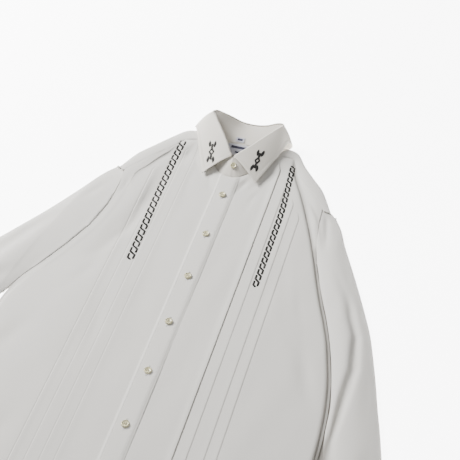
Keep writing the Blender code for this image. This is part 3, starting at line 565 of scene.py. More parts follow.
def body_level(x, y, top_y, top_z):
    """Level of a front away from its side: flat, rising to the neck and falling to the hem."""
    rise = 1 - smooth((top_y - y) / NECK_RISE_LENGTH)
    level = FRONT_TOP + (top_z - FRONT_TOP) * rise
    up = smooth((y - hem_y(x) - FRONT_HEM_LIFT) / HEM_DROP_LENGTH)
    return EDGE_LEVEL + (level - EDGE_LEVEL) * up


print("hem at the middle and at the side seams, mm:", hem_y(0.0), hem_y(HALF_BODY))

# %% [markdown]
# ## Pin tucks
#
# A pin tuck is a narrow fold, sewn or pressed to one side along its whole length. It could be a
# separate strip, but it is the same cloth, so it is a rise in the front's own surface. With d
# the distance outward from its edge it is h(d) = 0.9 smooth((d+9)/7) smooth((0.6-d)/0.8), with a
# little groove after it. Columns of points crowd together there, so that the step stays crisp.

# %% Pin tucks
TUCK_HEIGHT = 0.9
TUCK_GROOVE = 0.35
TUCK_FADE = 6.0
TUCK_LINES = (-9.0, -6.5, -4.0, -2.0, -0.8, -0.2, 0.3, 0.7, 1.2, 2.0, 3.2)
ROOM_BEFORE, ROOM_AFTER = 0.6, 0.35

# Distance from the middle, how far inside the crease each is kept, and how strongly it shows.
LEFT_TUCKS = table("x margin rise", [
    (77, 18, 1.0), (94.5, 14, 0.42), (117, 10, 0.42), (133, 6, 0.42)])
RIGHT_TUCKS = table("x margin rise", [
    (70, 18, 0.42), (89, 14, 0.42), (108, 10, 0.42), (128, 6, 0.7)])


def tuck_profile(d):
    """Height of a pin tuck, d mm outward from its pressed edge."""
    fold = smooth((d + 9.0) / 7.0) * smooth((0.6 - d) / 0.8)
    return TUCK_HEIGHT * fold - TUCK_GROOVE * np.exp(-(((d - 1.0) / 0.9) ** 2))


def lip_start(side, y):
    """Where the front starts to roll down: the crease's distance from the middle, less LIP."""
    return glide(side["y"], side["crease"], y) - LIP


def tuck_line(side, tucks, k, y):
    """The edge of tuck k: straight, but never nearer to the roll than its margin."""
    return np.minimum(tucks["x"][k], lip_start(side, y) - tucks["margin"][k])


def near_tuck(side, tucks, k, offset, y, last_flat):
    """A column `offset` mm beside tuck k, drawn in to a share of the room that is left there."""
    line = tuck_line(side, tucks, k, y)
    before = tuck_line(side, tucks, k - 1, y) if k else last_flat
    after = tuck_line(side, tucks, k + 1, y) if k + 1 < len(tucks["x"]) else lip_start(side, y)
    room = (ROOM_BEFORE * (line - before) / -TUCK_LINES[0] if offset < 0
            else ROOM_AFTER * (after - line) / TUCK_LINES[-1])
    return line + offset * np.minimum(room, 1.0)


print("tucks on the left and right front:", len(LEFT_TUCKS["x"]), len(RIGHT_TUCKS["x"]))

# %% [markdown]
# ## The columns of a front
#
# Each front is a grid of columns that run from the hem up to the neck or the yoke seam: plain
# ones, a group at each tuck, the lip that rolls down into the crease, and the strip beyond it.
# A square grid over the whole front would need many more points to follow the tucks and the
# crease. On the roll, at turn w, the column is LIP (1 - sin w) from the crease, and its level is
# v + (b - v) cos w, with v the level of the valley and b that of the body.

# %% The columns of a front
FINE_ROWS = 250
CROWDING = 1.15
ROLL_TURNS = (0.0, 12.0, 25.0, 38.0, 50.0, 61.0, 70.0, 78.0, 84.0)
ROLL_FOOT = 4.0


def front_columns(side, tucks, yoke_top, yoke_end, first_columns, steps):
    """Columns of points of one front, from the middle out, before any fold is pressed in."""
    columns = []
    top = np.array([yoke_top])
    count = len(tucks["x"])

    def add(x_at, low_x, top_x, level_at, top_y=None, top_z=None):
        """One column from the hem at low_x to the top edge at top_x, or to a point of the seam."""
        high_y, high_z = neck_edge(top_x, side, yoke_top) if top_y is None else (top_y, top_z)
        y = hem_y(low_x) + FRONT_HEM_LIFT
        y = y + (high_y - y) * steps
        x = x_at(y)
        columns.append(np.stack([x, y, level_at(x, y, high_y, high_z)], axis=1))

    for x in (*first_columns, *np.arange(16.0, 60.0, 4.0), 64.0):
        if x < tucks["x"][0] + TUCK_LINES[0] - 1.0:
            add(lambda y, x=x: np.full(len(y), x), x, x, body_level)
    last_flat = columns[-1][0, 0]

    for k in range(count):
        for offset in TUCK_LINES:
            def beside(y, k=k, offset=offset):
                return near_tuck(side, tucks, k, offset, y, last_flat)
            add(beside, tucks["x"][k], beside(top)[0], body_level)

    last_x = tucks["x"][-1]
    for share in np.linspace(0, 1, 16)[1:-1]:
        def path(y, share=share):
            inside = near_tuck(side, tucks, count - 1, TUCK_LINES[-1], y, last_flat)
            return inside + (lip_start(side, y) - inside) * share
        low = last_x + (HALF_BODY - LIP - last_x) * share
        add(path, low, path(top)[0], body_level)

    for turn in ROLL_TURNS:
        inset = LIP * (1 - math.sin(math.radians(turn)))

        def rolled(x, y, top_y, top_z, turn=turn):
            valley = glide(side["y"], side["valley"], y)
            body = body_level(x, y, top_y, top_z)
            return valley + (body - valley) * math.cos(math.radians(turn))
        add(lambda y, inset=inset: lip_start(side, y) + LIP - inset,
            HALF_BODY - ROLL_FOOT - inset, lip_start(side, yoke_top) + LIP - inset, rolled)

    for part in np.linspace(0, 1, 9):
        def strip(y, part=part):
            return lip_start(side, y) + LIP + part * glide(side["y"], side["width"], y)

        def rising(x, y, top_y, top_z, part=part):
            low, high = glide(side["y"], side["valley"], y), glide(side["y"], side["edge"], y)
            return low + (high - low) * smooth(SEAM_RISE * part)
        add(strip, HALF_BODY - ROLL_FOOT * (1 - part), 0.0, rising,
            top_y=yoke_top + (yoke_end - yoke_top) * part, top_z=0.0)
    return np.array(columns)


row_steps = 1 - (1 - np.linspace(0, 1, FINE_ROWS)) ** CROWDING
print("rows of a front:", FINE_ROWS, "and the last step is", round(1 - row_steps[-2], 5))

# %% [markdown]
# ## Folds and shade of the fronts
#
# The first table is in the CAD solids too. The fine ones are for the looks only: a soft drag
# line from the collar, puckers at the shoulder, long shallow waves on the chest. The shade lines
# are painted shade along the bottoms of the sharper folds, and their depth is the share of the
# dark shade colour. A simulation would find such folds by itself, but not the ones that this shirt
# has.

# %% Folds and shade of the fronts
FRONT_FOLDS = table("fold x y width depth", [
    (1, 185, -245, 10, 0.0), (1, 210, -300, 10, 1.9), (1, 237, -370, 10, 0.0),
    (2, 38, 52, 5, 0.0), (2, 27, 32, 5, 1.4), (2, 19, 8, 5, 0.0),
    (3, -110, 15, 13, 0.0), (3, -116, -45, 14, 2.4), (3, -128, -92, 15, 2.8),
    (3, -158, -168, 16, 1.5), (3, -178, -220, 16, 0.0),
    (4, -78, 108, 7, 0.0), (4, -84, 79, 7, 2.2), (4, -90, 44, 7, 0.0),
    (5, -161, 2, 5, 0.0), (5, -159, -20, 5, 1.5), (5, -161, -42, 5, 0.0),
    (6, -190, -300, 12, 0.0), (6, -214, -360, 12, 1.9), (6, -236, -430, 12, 0.0),
    (7, -150, -440, 13, 0.0), (7, -160, -500, 13, 1.6), (7, -172, -570, 13, 0.0),
    (8, 196, -440, 13, 0.0), (8, 208, -505, 13, 1.6), (8, 213, -570, 13, 0.0),
    (9, -36, 46, 5, 0.0), (9, -28, 24, 5, 1.0), (9, -22, 2, 5, 0.0)])

# How much painted shade the crease beside each sleeve gets, by the side's sign: most on the
# wearer's left.
CREASE_SHADE_WEIGHT = {1: 1.0, -1: 0.2}

SHADE_LINES = table("fold x y width depth", [
    (1, 139, 27, 2.5, 0.0), (1, 151, 7, 2.5, 0.3), (1, 164, -16.5, 2.5, 0.3),
    (1, 178, -53, 2.5, 0.2), (1, 186, -83, 2.5, 0.0),
    (2, 254, -190, 3, 0.0), (2, 268, -227, 3, 0.14), (2, 277, -270, 3, 0.2),
    (2, 276, -306, 3, 0.28), (2, 272.6, -331, 3.2, 0.4), (2, 271.7, -355, 3.5, 0.5),
    (2, 269.9, -373, 4, 0.6), (2, 266.5, -400, 5, 0.8), (2, 266, -425, 7, 0.85),
    (2, 272, -470, 8, 0.85), (2, 280, -530, 7, 0.6),
    (3, -112, 60, 5, 0.0), (3, -114.7, 37, 6, 0.16), (3, -114.9, -17, 7, 0.24),
    (3, -116.7, -61, 7, 0.22), (3, -121.4, -90, 7, 0.24), (3, -127.5, -114, 7, 0.22),
    (3, -137.2, -142, 8, 0.15), (3, -152.7, -170, 8, 0.1), (3, -163, -190, 8, 0.0),
    (4, -78.3, 105, 3, 0.12), (4, -84.4, 80, 4, 0.1), (4, -88.9, 50, 4, 0.0)])

# A negative depth would lift the cloth.
FINE_FOLDS = table("fold x y width depth", [
    (1, 34, 60, 3, 0.0), (1, 28, 37, 4, 1.3), (1, 22, 18, 4, 1.0), (1, 13, -3, 4, 0.0),
    (2, 58, 38, 3, 0.0), (2, 50, 6, 5, 1.0), (2, 45, -34, 6, 0.0),
    (10, 58, 100, 4, 0.0), (10, 62, 80, 5, 0.8), (10, 60, 50, 6, 0.0),
    (11, -113, 50, 8, 0.0), (11, -115, -17, 8, 1.6), (11, -118, -70, 8, 1.8),
    (11, -127, -114, 8, 1.8), (11, -142, -150, 9, 1.2), (11, -163, -190, 10, 0.0),
    (12, -112, -186, 9, 0.0), (12, -106, -277, 10, 0.9), (12, -95, -335, 10, 0.6),
    (12, -89, -390, 10, 0.0),
    (13, 189, -223, 8, 0.0), (13, 202, -265, 9, 0.9), (13, 215, -306, 9, 0.9),
    (13, 231, -344, 8, 0.4), (13, 246, -372, 8, 0.0),
    (3, 60, 60, 5, 0.0), (3, 66, 20, 6, 0.6), (3, 64, -30, 7, 0.0),
    (4, -60, 60, 6, 0.0), (4, -64, 20, 7, 0.8), (4, -58, -30, 8, 0.0),
    (5, 120, -60, 9, 0.0), (5, 140, -140, 10, 0.7), (5, 170, -230, 10, 0.0),
    (6, 160, -130, 7, 0.0), (6, 176, -190, 8, 0.9), (6, 200, -250, 8, 0.0),
    (7, -130, -150, 9, 0.0), (7, -152, -210, 10, 0.9), (7, -186, -280, 10, 0.0),
    (8, 38, -200, 10, 0.0), (8, 46, -300, 12, 0.5), (8, 40, -400, 12, 0.0),
    (9, -42, -120, 10, 0.0), (9, -50, -230, 12, 0.5), (9, -44, -330, 12, 0.0)])

print("chains of folds:", len(np.unique(FRONT_FOLDS["fold"])), "and, finer,",
      len(np.unique(FINE_FOLDS["fold"])))

# %% [markdown]
# ## The two fronts
#
# The wearer's left front runs under the placket and reaches less far to the middle than the
# right one does. The tucks go into `relief`, which `wall` adds along the surface's normal, and
# the folds lower z. Both fade out at the edges, where a front is sewn to its neighbours.

# %% The two fronts
TUCK_SHADE, CREASE_SHADE, MOST_SHADE = 0.5, 0.62, 0.85
TUCK_REACH, FRONT_RIPPLE = 14, 0.5
NARROW_STRIP = 7.0
EVEN_EDGE = 6.0


def front_surface(grid, sign, side, tucks, yoke_top):
    """The grid with its folds, how far the tucks raise it, and its shade."""
    x, y = grid[..., 0], grid[..., 1]
    relief = np.zeros(x.shape)
    shade = np.zeros(x.shape)
    for k, rise in enumerate(tucks["rise"]):
        line = tuck_line(side, tucks, k, y)
        fade = (rise * (1 - smooth((tucks["x"][k] - line) / TUCK_FADE))
                * smooth((y - hem_y(x) - 6) / 12))
        relief += np.where(abs(x - line) < TUCK_REACH, tuck_profile(x - line) * fade, 0.0)
        # Painted shadow: a dark line just outside each tuck's pressed edge.
        shade += TUCK_SHADE * fade ** 0.5 * np.exp(-(((x - line - 1.0) / 0.8) ** 2))
    # Painted shade on the roll into the crease, on the strip beyond it, and along the shade lines.
    off = x - glide(side["y"], side["crease"], y)
    lip = smooth((off + 6.0) / 6.0) * CREASE_SHADE
    fall = np.where(glide(side["y"], side["width"], y) < NARROW_STRIP, 9.0, 3.5)
    strip = np.exp(-((np.maximum(off, 0.0) / fall) ** 2)) * CREASE_SHADE
    high = smooth((yoke_top + 4 - y) / 20)
    shade += np.where(off < 0, lip, strip) * (CREASE_SHADE_WEIGHT[sign] * high)
    shade += pressed(SHADE_LINES, sign * x, y)
    edge = np.minimum(np.arange(len(grid)), np.arange(len(grid))[::-1])[:, None] / EVEN_EDGE
    calm = smooth(edge) * smooth((1 - row_steps)[None, :] * 40)
    z = grid[..., 2] - pressed(FRONT_FOLDS, sign * x, y)
    z = z + calm * (ripple(x * sign, y, 7 if sign > 0 else 8, FRONT_RIPPLE)
                    - pressed(FINE_FOLDS, sign * x, y))
    grid = np.stack([sign * x, y, np.maximum(z, EDGE_LEVEL - 0.4)], axis=-1)
    return grid, relief, np.clip(shade, 0.0, MOST_SHADE)


LEFT_FIRST, RIGHT_FIRST = (12.6,), (-12.0, -8.0, -4.0, 0.0, 4.0, 8.0, 12.0)
fronts_made = {}
for name, sign, side, tucks, top, end, first in (
        ("front_left", 1, LEFT_SIDE, LEFT_TUCKS, LEFT_YOKE_TOP, LEFT_YOKE_END, LEFT_FIRST),
        ("front_right", -1, RIGHT_SIDE, RIGHT_TUCKS, RIGHT_YOKE_TOP, RIGHT_YOKE_END, RIGHT_FIRST)):
    points = front_columns(side, tucks, top, end, first, row_steps)
    points, relief, shade = front_surface(points, sign, side, tucks, top)
    fronts_made[name] = wall(name + "_cloth", points, WALL, body_cloth, out=sign, relief=relief,
                             shade=shade)
(front_left, front_left_outer), (front_right, front_right_outer) = fronts_made.values()

# %% [markdown]
# ## Where the sleeves lie
#
# Each sleeve is known by a row of sections from the armhole to the cuff. They come before the
# back, because the back reaches a little way under the left sleeve, so that no table shows in
# the crease between the two. That reach of the back is darkened with painted shade.

# %% Where the sleeves lie
# Sleeve sections from the armhole to the cuff: inner edge, outer edge and height.
LEFT_SLEEVE = table("in_x in_y out_x out_y high", [
    (182.4, -98, 191, 2, 9), (189.2, -117, 204, -20, 11), (195.6, -137, 217, -52, 12),
    (205.5, -163, 236, -92, 13), (219.0, -196, 255, -133, 13.5), (231.8, -232, 273, -174, 14),
    (242.4, -268, 288, -211, 14), (251.2, -305, 300, -250, 14), (258.2, -345, 311, -289, 14),
    (260.6, -388, 321, -328, 14), (266, -425, 332, -368, 15), (273, -462, 343, -412, 16),
    (278, -500, 356, -457, 17), (281, -536, 370, -503, 18)])
RIGHT_SLEEVE = table("in_x in_y out_x out_y high", [
    (-258.8, -287, -190.2, 17, 8), (-265, -299, -206, -4, 10), (-272, -312, -232, -54, 11),
    (-281, -328, -262, -108, 12), (-291, -346, -292, -156, 13), (-303, -372, -322, -203, 13.5),
    (-317, -398, -352, -251, 14), (-331, -424, -384, -301, 15), (-346, -451, -420, -359, 16),
    (-363, -479, -458, -420, 17)])

print("sections of the left and right sleeve:", len(LEFT_SLEEVE["high"]),
      len(RIGHT_SLEEVE["high"]))

# %% [markdown]
# ## Back
#
# The back is one wide panel from the tail up to the seam of the yoke. It lies flat on the table,
# so its columns only need the two side seams. Its outer side is the one at z = 0.

# %% Back
BACK_SEAM_Y = -20.0
BACK_ARMHOLE = table("y x", [(-134, 194), (-96, 181.2), (-57, 177.6), (-20, 180)])
UNDER_SLEEVE, UNDER_TOP, UNDER_LOW = 3.0, -72, -545
BACK_SHADE = 0.8

steps = 1 - (1 - np.linspace(0, 1, 120)) ** CROWDING
columns = []
for u in np.linspace(0, 1, 81):
    low = hem_y((2 * u - 1) * HALF_BODY)
    y = low + (BACK_SEAM_Y - SEAM_GAP - low) * steps
    right = -(glide(RIGHT_SIDE["y"], RIGHT_SIDE["crease"], y)
              + glide(RIGHT_SIDE["y"], RIGHT_SIDE["width"], y))
    left = glide(LEFT_SIDE["y"], LEFT_SIDE["crease"], y) + 4.0
    left = np.where(y > BACK_ARMHOLE["y"][0], glide(BACK_ARMHOLE["y"], BACK_ARMHOLE["x"], y), left)
    under = glide(-LEFT_SLEEVE["in_y"], LEFT_SLEEVE["in_x"], -y) + UNDER_SLEEVE
    full = smooth((UNDER_TOP - y) / 20) * smooth((y - UNDER_LOW) / 70)
    left = left + np.maximum(under - left, 0.0) * full
    columns.append(np.stack([right + (left - right) * u, y, np.zeros(len(y))], axis=1))
back_points = np.array(columns)
# Painted shade: beside the crease and under the left sleeve the back is darkened, as the shade in a
# deep crease would be.
side_off = back_points[..., 0] - glide(LEFT_SIDE["y"], LEFT_SIDE["crease"], back_points[..., 1])
back_cloth, _ = wall("back_cloth", back_points, WALL, body_cloth, out=-1.0,
                     shade=BACK_SHADE * smooth((side_off + 6.0) / 6.0))

# %% [markdown]
# ## Placket
#
# The placket is the stiff double strip that carries the buttonholes. It could be a box with
# bevelled edges, but a sewn strip puckers along its two seams and its edges fall away softly. So
# its points crowd to the edges as half sin(a), and the relief adds the seam's groove, a pucker
# every 9 mm and the fall at the edge.

# %% Placket
PLACKET_WIDTH = 35.0
PLACKET_LIFT = 0.5
PLACKET_WALL = 1.65
PLACKET_SEAM = 12.5
PLACKET_EDGE, PLACKET_FALL = 5.0, 1.1
PUCKER, PUCKER_LENGTH = 0.12, 9.0
SEAM_GROOVE, PLACKET_RIPPLE = 0.22, 0.3

half = PLACKET_WIDTH / 2
across = half * np.sin(np.linspace(-math.pi / 2, math.pi / 2, 61))
steps = np.linspace(0, 1, 420)
columns = []
for x in across:
    top_y, top_z = neck_edge(abs(x), LEFT_SIDE, LEFT_YOKE_TOP)
    y = hem_y(x) + FRONT_HEM_LIFT
    y = y + (top_y - y) * steps
    z = body_level(x, y, top_y, top_z) + PLACKET_LIFT + WALL
    columns.append(np.stack([np.full(len(y), x), y, z], axis=1))
placket_points = np.array(columns)
x, y = placket_points[..., 0], placket_points[..., 1]
seam_off = np.minimum(abs(x - PLACKET_SEAM), abs(x + PLACKET_SEAM))
pucker = (PUCKER * np.sin(y * 2 * math.pi / PUCKER_LENGTH)
          * np.exp(-((seam_off / 3.0) ** 2)))
edge_fall = PLACKET_FALL * (1 - smooth((half - abs(x)) / PLACKET_EDGE))
groove = SEAM_GROOVE * np.exp(-((seam_off / 0.7) ** 2))
placket_cloth, placket_outer = wall(
    "placket_cloth", placket_points, PLACKET_WALL, placket_weave,
    relief=pucker - groove + ripple(x, y, 21, PLACKET_RIPPLE) - edge_fall)

# %% [markdown]
# ## Yoke
#
# The yoke covers both shoulders, from the seam across the back to the two front seams, and the
# collar is sewn into its hollow. It comes up off the table, so each section is flat at first and
# then a cubic Bezier curve p(t) = s^3 a + 3 s^2 t b + 3 s t^2 c + t^3 d, with s = 1 - t. It ends
# in a short turned edge, as a seam allowance does. Lofting curve objects would give the same,
# but this way the seam's points are exactly those of the fronts.

# %% Yoke
# Sections from the right shoulder round to the left. Each one runs flat up the back to flat_y
# and then follows the cubic curve through two handles, to the neck or front seam. A row with
# part 0 or more ends on the front seam, that far along it; -1 ends at its own point.
YOKE = table("part low_x flat_x flat_y ax ay az bx by bz tx ty tz", [
    (-1, -176, -177, -8, -189, 17, 0, -190, 23, 9.3, -176.2, 7.5, 9.2),
    (1.0, -171, -172, -4, -187, 21, 0, -187, 27, 9, 0, 0, 0),
    (0.75, -163, -165, 20, -170, 62, 0, -171, 64, 11, 0, 0, 0),
    (0.5, -146, -147, 48, -149, 88, 0, -150, 90, 13, 0, 0, 0),
    (0.25, -124, -124, 76, -125, 118, 0, -126, 120, 14, 0, 0, 0),
    (0.0, -101, -101, 88, -102, 138, 0, -103, 143, 17, 0, 0, 0),
    (-1, -73, -73, 98, -78, 134, 0, -81, 142, 20, -68.3, 112.4, 13.2),
    (-1, -66, -66, 98, -67, 112, 0.4, -67, 122, 8, -64.5, 118.2, 11.6),
    (-1, -55, -55, 98, -55, 110, 0.4, -55, 118, 4.5, -55, 121.8, 8.4),
    (-1, -38, -38, 98, -38, 108, 0.4, -38, 117, 2.6, -38, 125.3, 5.7),
    (-1, -18, -18, 98, -18, 108, 0.4, -18, 118, 2.3, -18, 126.7, 5.0),
    (-1, 3, 3, 98, 3, 108, 0.4, 3, 118, 2.2, 3, 127.0, 4.8),
    (-1, 22, 22, 98, 22, 108, 0.4, 22, 118, 2.3, 22, 126.6, 5.0),
    (-1, 38, 38, 98, 38, 108, 0.4, 38, 117, 2.6, 38, 125.3, 5.7),
    (-1, 55, 55, 98, 55, 110, 0.4, 55, 118, 4.5, 55, 121.8, 8.4),
    (-1, 66, 66, 98, 67, 112, 0.4, 67, 122, 8, 64.5, 118.2, 11.6),
    (-1, 73, 73, 98, 77, 133, 0, 80, 141, 20, 68.3, 112.4, 13.2),
    (0.0, 97, 97, 92, 98, 131, 0, 99, 137, 16.5, 0, 0, 0),
    (0.25, 117, 117, 75, 117, 108, 0, 118, 110, 13, 0, 0, 0),
    (0.5, 139, 139, 50, 138, 84, 0, 139, 86, 12.5, 0, 0, 0),
    (0.75, 160, 160, 20, 159.5, 58.5, 0, 160.5, 60.5, 11, 0, 0, 0),
    (1.0, 178, 181, -6, 184, 7, 0, 184, 13.5, 9.2, 0, 0, 0),
    (-1, 181, 185, -9, 189, 3, 0, 189.5, 9, 9.4, 167.5, 9.5, 9.5)])
print("sections of the yoke:", len(YOKE["part"]), "from x =", YOKE["flat_x"][0], "to",
      YOKE["flat_x"][-1])

# %% Yoke surface
YOKE_BETWEEN = 7
TURNED_ROWS = 2


def yoke_section(i):
    """Outer points of one yoke section, from the back seam to the neck or the front seam."""
    row = {key: YOKE[key][i] for key in YOKE}
    if row["part"] < 0:
        end = np.array([row["tx"], row["ty"], row["tz"]])
    elif i < len(YOKE["part"]) / 2:
        x, y, z = seam_point(RIGHT_SIDE, RIGHT_YOKE_TOP, RIGHT_YOKE_END, row["part"])
        end = np.array([-x, y, z])
    else:
        end = np.array(seam_point(LEFT_SIDE, LEFT_YOKE_TOP, LEFT_YOKE_END, row["part"]))
    first = np.array([row["flat_x"], row["flat_y"], 0.0])
    low = np.array([row["low_x"], BACK_SEAM_Y, 0.0])
    a = np.array([row["ax"], row["ay"], row["az"]])
    b = np.array([row["bx"], row["by"], row["bz"]])
    flat = low + (first - low) * np.linspace(0, 1, 10)[:-1, None]
    t = np.linspace(0, 1, 40)[:, None]
    s = 1 - t
    at_neck = row["part"] < 0
    way = np.array([0.0, -1.0, 0.0] if at_neck else [-0.35 * np.sign(end[0]), -0.94, 0.0])
    reach, sink = (0.3, 0.1) if at_neck else (1.1, 0.9)
    turned = [end + way * 0.2 * reach - (0, 0, 0.5 * sink), end + way * reach - (0, 0, sink)]
    return np.concatenate([flat, s ** 3 * first + 3 * s * s * t * a + 3 * s * t * t * b
                           + t ** 3 * end, turned])


yoke_points = refine([yoke_section(i) for i in range(len(YOKE["part"]))], YOKE_BETWEEN)
yoke_cloth, yoke_outer = wall("yoke_cloth", yoke_points, WALL, body_cloth, out=-1.0)
yoke_seen = yoke_outer[:, :-TURNED_ROWS]

# %% [markdown]
# ## One ring of a sleeve
#
# A sleeve lying down is a flattened tube. Its top rises over each section as
# z = e + (h - e) sin(pi s)^0.55, with s the share of the way across, h its height and e the level
# of its side edges, and the edges turn under as a quarter of an ellipse. The first ring is bent
# onto the armhole, and a few more rings go in under the body, as the seam's allowance does.

# %% Armholes
# The armholes, where the sleeve's top and underside meet the body, from underarm to shoulder.
LEFT_ARMHOLE = table("part top_x top_y low_x low_y", [
    (0.0, 182.4, -98, 182.4, -98), (0.35, 173.0, -57, 178.6, -57), (0.65, 167.8, -17, 181.6, -18),
    (0.82, 165.4, 8, 186.2, -9), (0.86, 165.6, 14.2, 187.4, -5), (0.93, 179.5, 8.6, 189.5, -1),
    (1.0, 191, 2, 191, 2)])
RIGHT_ARMHOLE = table("part top_x top_y low_x low_y", [
    (0.0, -258.8, -287, -258.8, -287), (0.05, -254.2, -275, -254.2, -275),
    (0.13, -244.4, -250, -244.4, -250),
    (0.26, -225.2, -215, -225.2, -215), (0.42, -203.0, -170, -203.0, -170),
    (0.58, -183.0, -120, -183.0, -120), (0.73, -172.2, -70, -172.2, -70),
    (0.86, -171.2, -20, -171.2, -20), (0.93, -173.2, 6, -176.4, -2),
    (0.96, -174.6, 9.6, -182.0, 4), (1.0, -190.2, 17, -190.2, 17)])
ARMHOLE_LEVEL = table("part left right", [
    (0.0, 6.5, 6.5), (0.2, 6.8, 6.8), (0.4, 7.2, 7.0), (0.6, 7.8, 7.2), (0.86, 9.0, 8.4),
    (1.0, 7.5, 7.5)])
print("the left armhole runs from", LEFT_ARMHOLE["top_y"][0], "to", LEFT_ARMHOLE["top_y"][-1])

# %% One ring of a sleeve
TUBE_EDGE = 2.8
ARCH_POWER = 0.55


def corner_share(sections, i, key):
    """How far a tube's rounded edge reaches into a section, more where it is cut slanting."""
    a, b = max(i - 1, 0), min(i + 1, len(sections["high"]) - 1)
    along = np.array([sections[key + "_x"][b] - sections[key + "_x"][a],
                      sections[key + "_y"][b] - sections[key + "_y"][a]])
    span = np.array([sections["out_x"][i] - sections["in_x"][i],
                     sections["out_y"][i] - sections["in_y"][i]])
    cross = abs(along[0] * span[1] - along[1] * span[0])
    sine = cross / (np.linalg.norm(along) * np.linalg.norm(span))
    return TUBE_EDGE / max(sine, 0.2) / np.linalg.norm(span)


def key_ring(sections, i, share, armhole, level):
    """One ring of outer points: over the top from inner to outer edge, then back underneath."""
    near, far = corner_share(sections, i, "in"), corner_share(sections, i, "out")
    turn = np.radians(np.linspace(0, 90, 6))[1:]
    far_x, near_x = 1 - 1.1 * far * (1 - np.cos(turn)), 1.1 * near * (1 - np.cos(turn))
    drop = TUBE_EDGE * (1 - np.sin(turn))
    flat = np.linspace(far_x[-1], near_x[-1], 12)[1:-1]
    under = np.concatenate([far_x, flat, near_x[::-1]])
    under_z = np.concatenate([drop, np.zeros(len(flat)), drop[::-1]])

    def line(at, key):
        return sections["in" + key][i] + (sections["out" + key][i] - sections["in" + key][i]) * at
    if armhole is not None and i == 0:
        top_xy = [np.interp(share, armhole["part"], armhole["top" + k]) for k in ("_x", "_y")]
        low_xy = [np.interp(under, armhole["part"], armhole["low" + k]) for k in ("_x", "_y")]
        high = np.interp(share, ARMHOLE_LEVEL["part"], level)
    else:
        top_xy = [line(share, k) for k in ("_x", "_y")]
        low_xy = [line(under, k) for k in ("_x", "_y")]
        high = sections["high"][i]
    z = TUBE_EDGE + (high - TUBE_EDGE) * np.sin(math.pi * share) ** ARCH_POWER
    return np.concatenate([np.stack([*top_xy, z], 1), np.stack([*low_xy, under_z], 1)])


# How far each ring of the seam allowance goes in, and how far it drops.
ALLOWANCE = ((4.0, 1.9), (2.0, 1.7), (0.7, 1.0), (0.2, 0.35))


def tuck_under(rings, top_points):
    """The seam allowance of a sleeve: rings that go in under the body beside the armhole."""
    way = rings[0, :, :2] - rings[6, :, :2]
    way = way / np.linalg.norm(way, axis=1, keepdims=True)
    down = np.where(np.arange(rings.shape[1]) < top_points, -1.0, 1.0)
    made = []
    for reach, drop in ALLOWANCE:
        ring = rings[0].copy()
        ring[:, :2] += way * reach
        ring[:, 2] += down * drop * 0.8
        made.append(ring)
    return np.array(made)


print("reach of the rounded edge at the left cuff, as a share of the section:",
      round(corner_share(LEFT_SLEEVE, len(LEFT_SLEEVE["high"]) - 1, "in"), 3))

# %% [markdown]
# ## Sleeves
#
# The rings are joined by the Hermite curve, folds are pressed into the top, and towards the cuff
# the cloth gathers in small pleats, cos(22 pi s + 1.3 sin 17 s), that die out over 34 mm. The
# wearer's left sleeve has one deep fold that runs into the crease, and painted shade darkens its
# bottom.

# %% Folds in the sleeves
SLEEVE_FOLDS = table("fold x y width depth", [
    (1, 236, -138, 8, 0.0), (1, 254, -190, 7, 4.0), (1, 268, -222, 7, 6.0),
    (1, 276, -280, 7, 6.5), (1, 271, -340, 7, 6.0), (1, 266, -395, 8, 3.0),
    (1, 272, -450, 10, 0.0),
    (2, 173, 10, 4, 0.0), (2, 178, -12, 4, 2.2), (2, 184, -40, 4, 2.0), (2, 190, -78, 5, 0.0),
    (3, 318, -400, 11, 0.0), (3, 327, -450, 11, 3.5), (3, 333, -500, 10, 2.5),
    (3, 336, -530, 10, 0.0),
    (4, -236, -105, 11, 0.0), (4, -272, -165, 12, 2.6), (4, -306, -235, 12, 2.8),
    (4, -336, -300, 12, 0.0),
    (5, -330, -330, 11, 0.0), (5, -368, -385, 10, 3.2), (5, -400, -440, 9, 2.6),
    (5, -412, -452, 9, 0.0),
    (6, -262, -235, 10, 0.0), (6, -280, -270, 10, 2.4), (6, -306, -330, 11, 0.0)])
FINE_SLEEVE_FOLDS = table("fold x y width depth", [
    (7, 274, -290, 5, 0.0), (7, 273, -331, 5, 2.0), (7, 271, -362, 5, 3.4),
    (7, 268.5, -392, 5, 4.0), (7, 267, -420, 5, 3.4), (7, 270, -460, 6, 0.0),
    (8, 207, -98, 6, 0.0), (8, 232, -142, 7, 1.2), (8, 253, -179, 7, 1.0), (8, 266, -209, 7, 0.0),
    (9, -178, 1, 5, 0.0), (9, -193, -28, 6, 1.2), (9, -208, -57, 6, 0.8), (9, -222, -75, 6, 0.0),
    (10, -178, -97, 5, 0.0), (10, -186, -120, 6, 0.9), (10, -197, -137, 6, 0.0),
    (1, 214, -60, 6, 0.0), (1, 232, -110, 7, 0.9), (1, 262, -170, 7, 0.0),
    (2, 290, -250, 7, 0.0), (2, 302, -310, 8, 0.9), (2, 310, -370, 8, 0.0),
    (3, 300, -470, 7, 0.0), (3, 312, -510, 6, 1.2), (3, 318, -530, 6, 0.8),
    (4, -214, -30, 7, 0.0), (4, -238, -60, 8, 1.0), (4, -262, -100, 9, 0.0),
    (5, -300, -180, 8, 0.0), (5, -330, -240, 9, 0.9), (5, -352, -300, 9, 0.0),
    (6, -380, -380, 7, 0.0), (6, -408, -420, 6, 1.2), (6, -416, -436, 6, 0.8)])
print("chains of folds in the sleeves:", len(np.unique(SLEEVE_FOLDS["fold"])), "and, finer,",
      len(np.unique(FINE_SLEEVE_FOLDS["fold"])))

# %% Sleeves
TOP_POINTS = 72
CROWDED, EVEN = 0.45, 0.55
GATHER_LENGTH, GATHER_HEIGHT, PLEATS = 34.0, 1.1, 11
CALM_START, CALM_END = 14, 10
SLEEVE_WALL, SLEEVE_RIPPLE = 1.1, 0.55


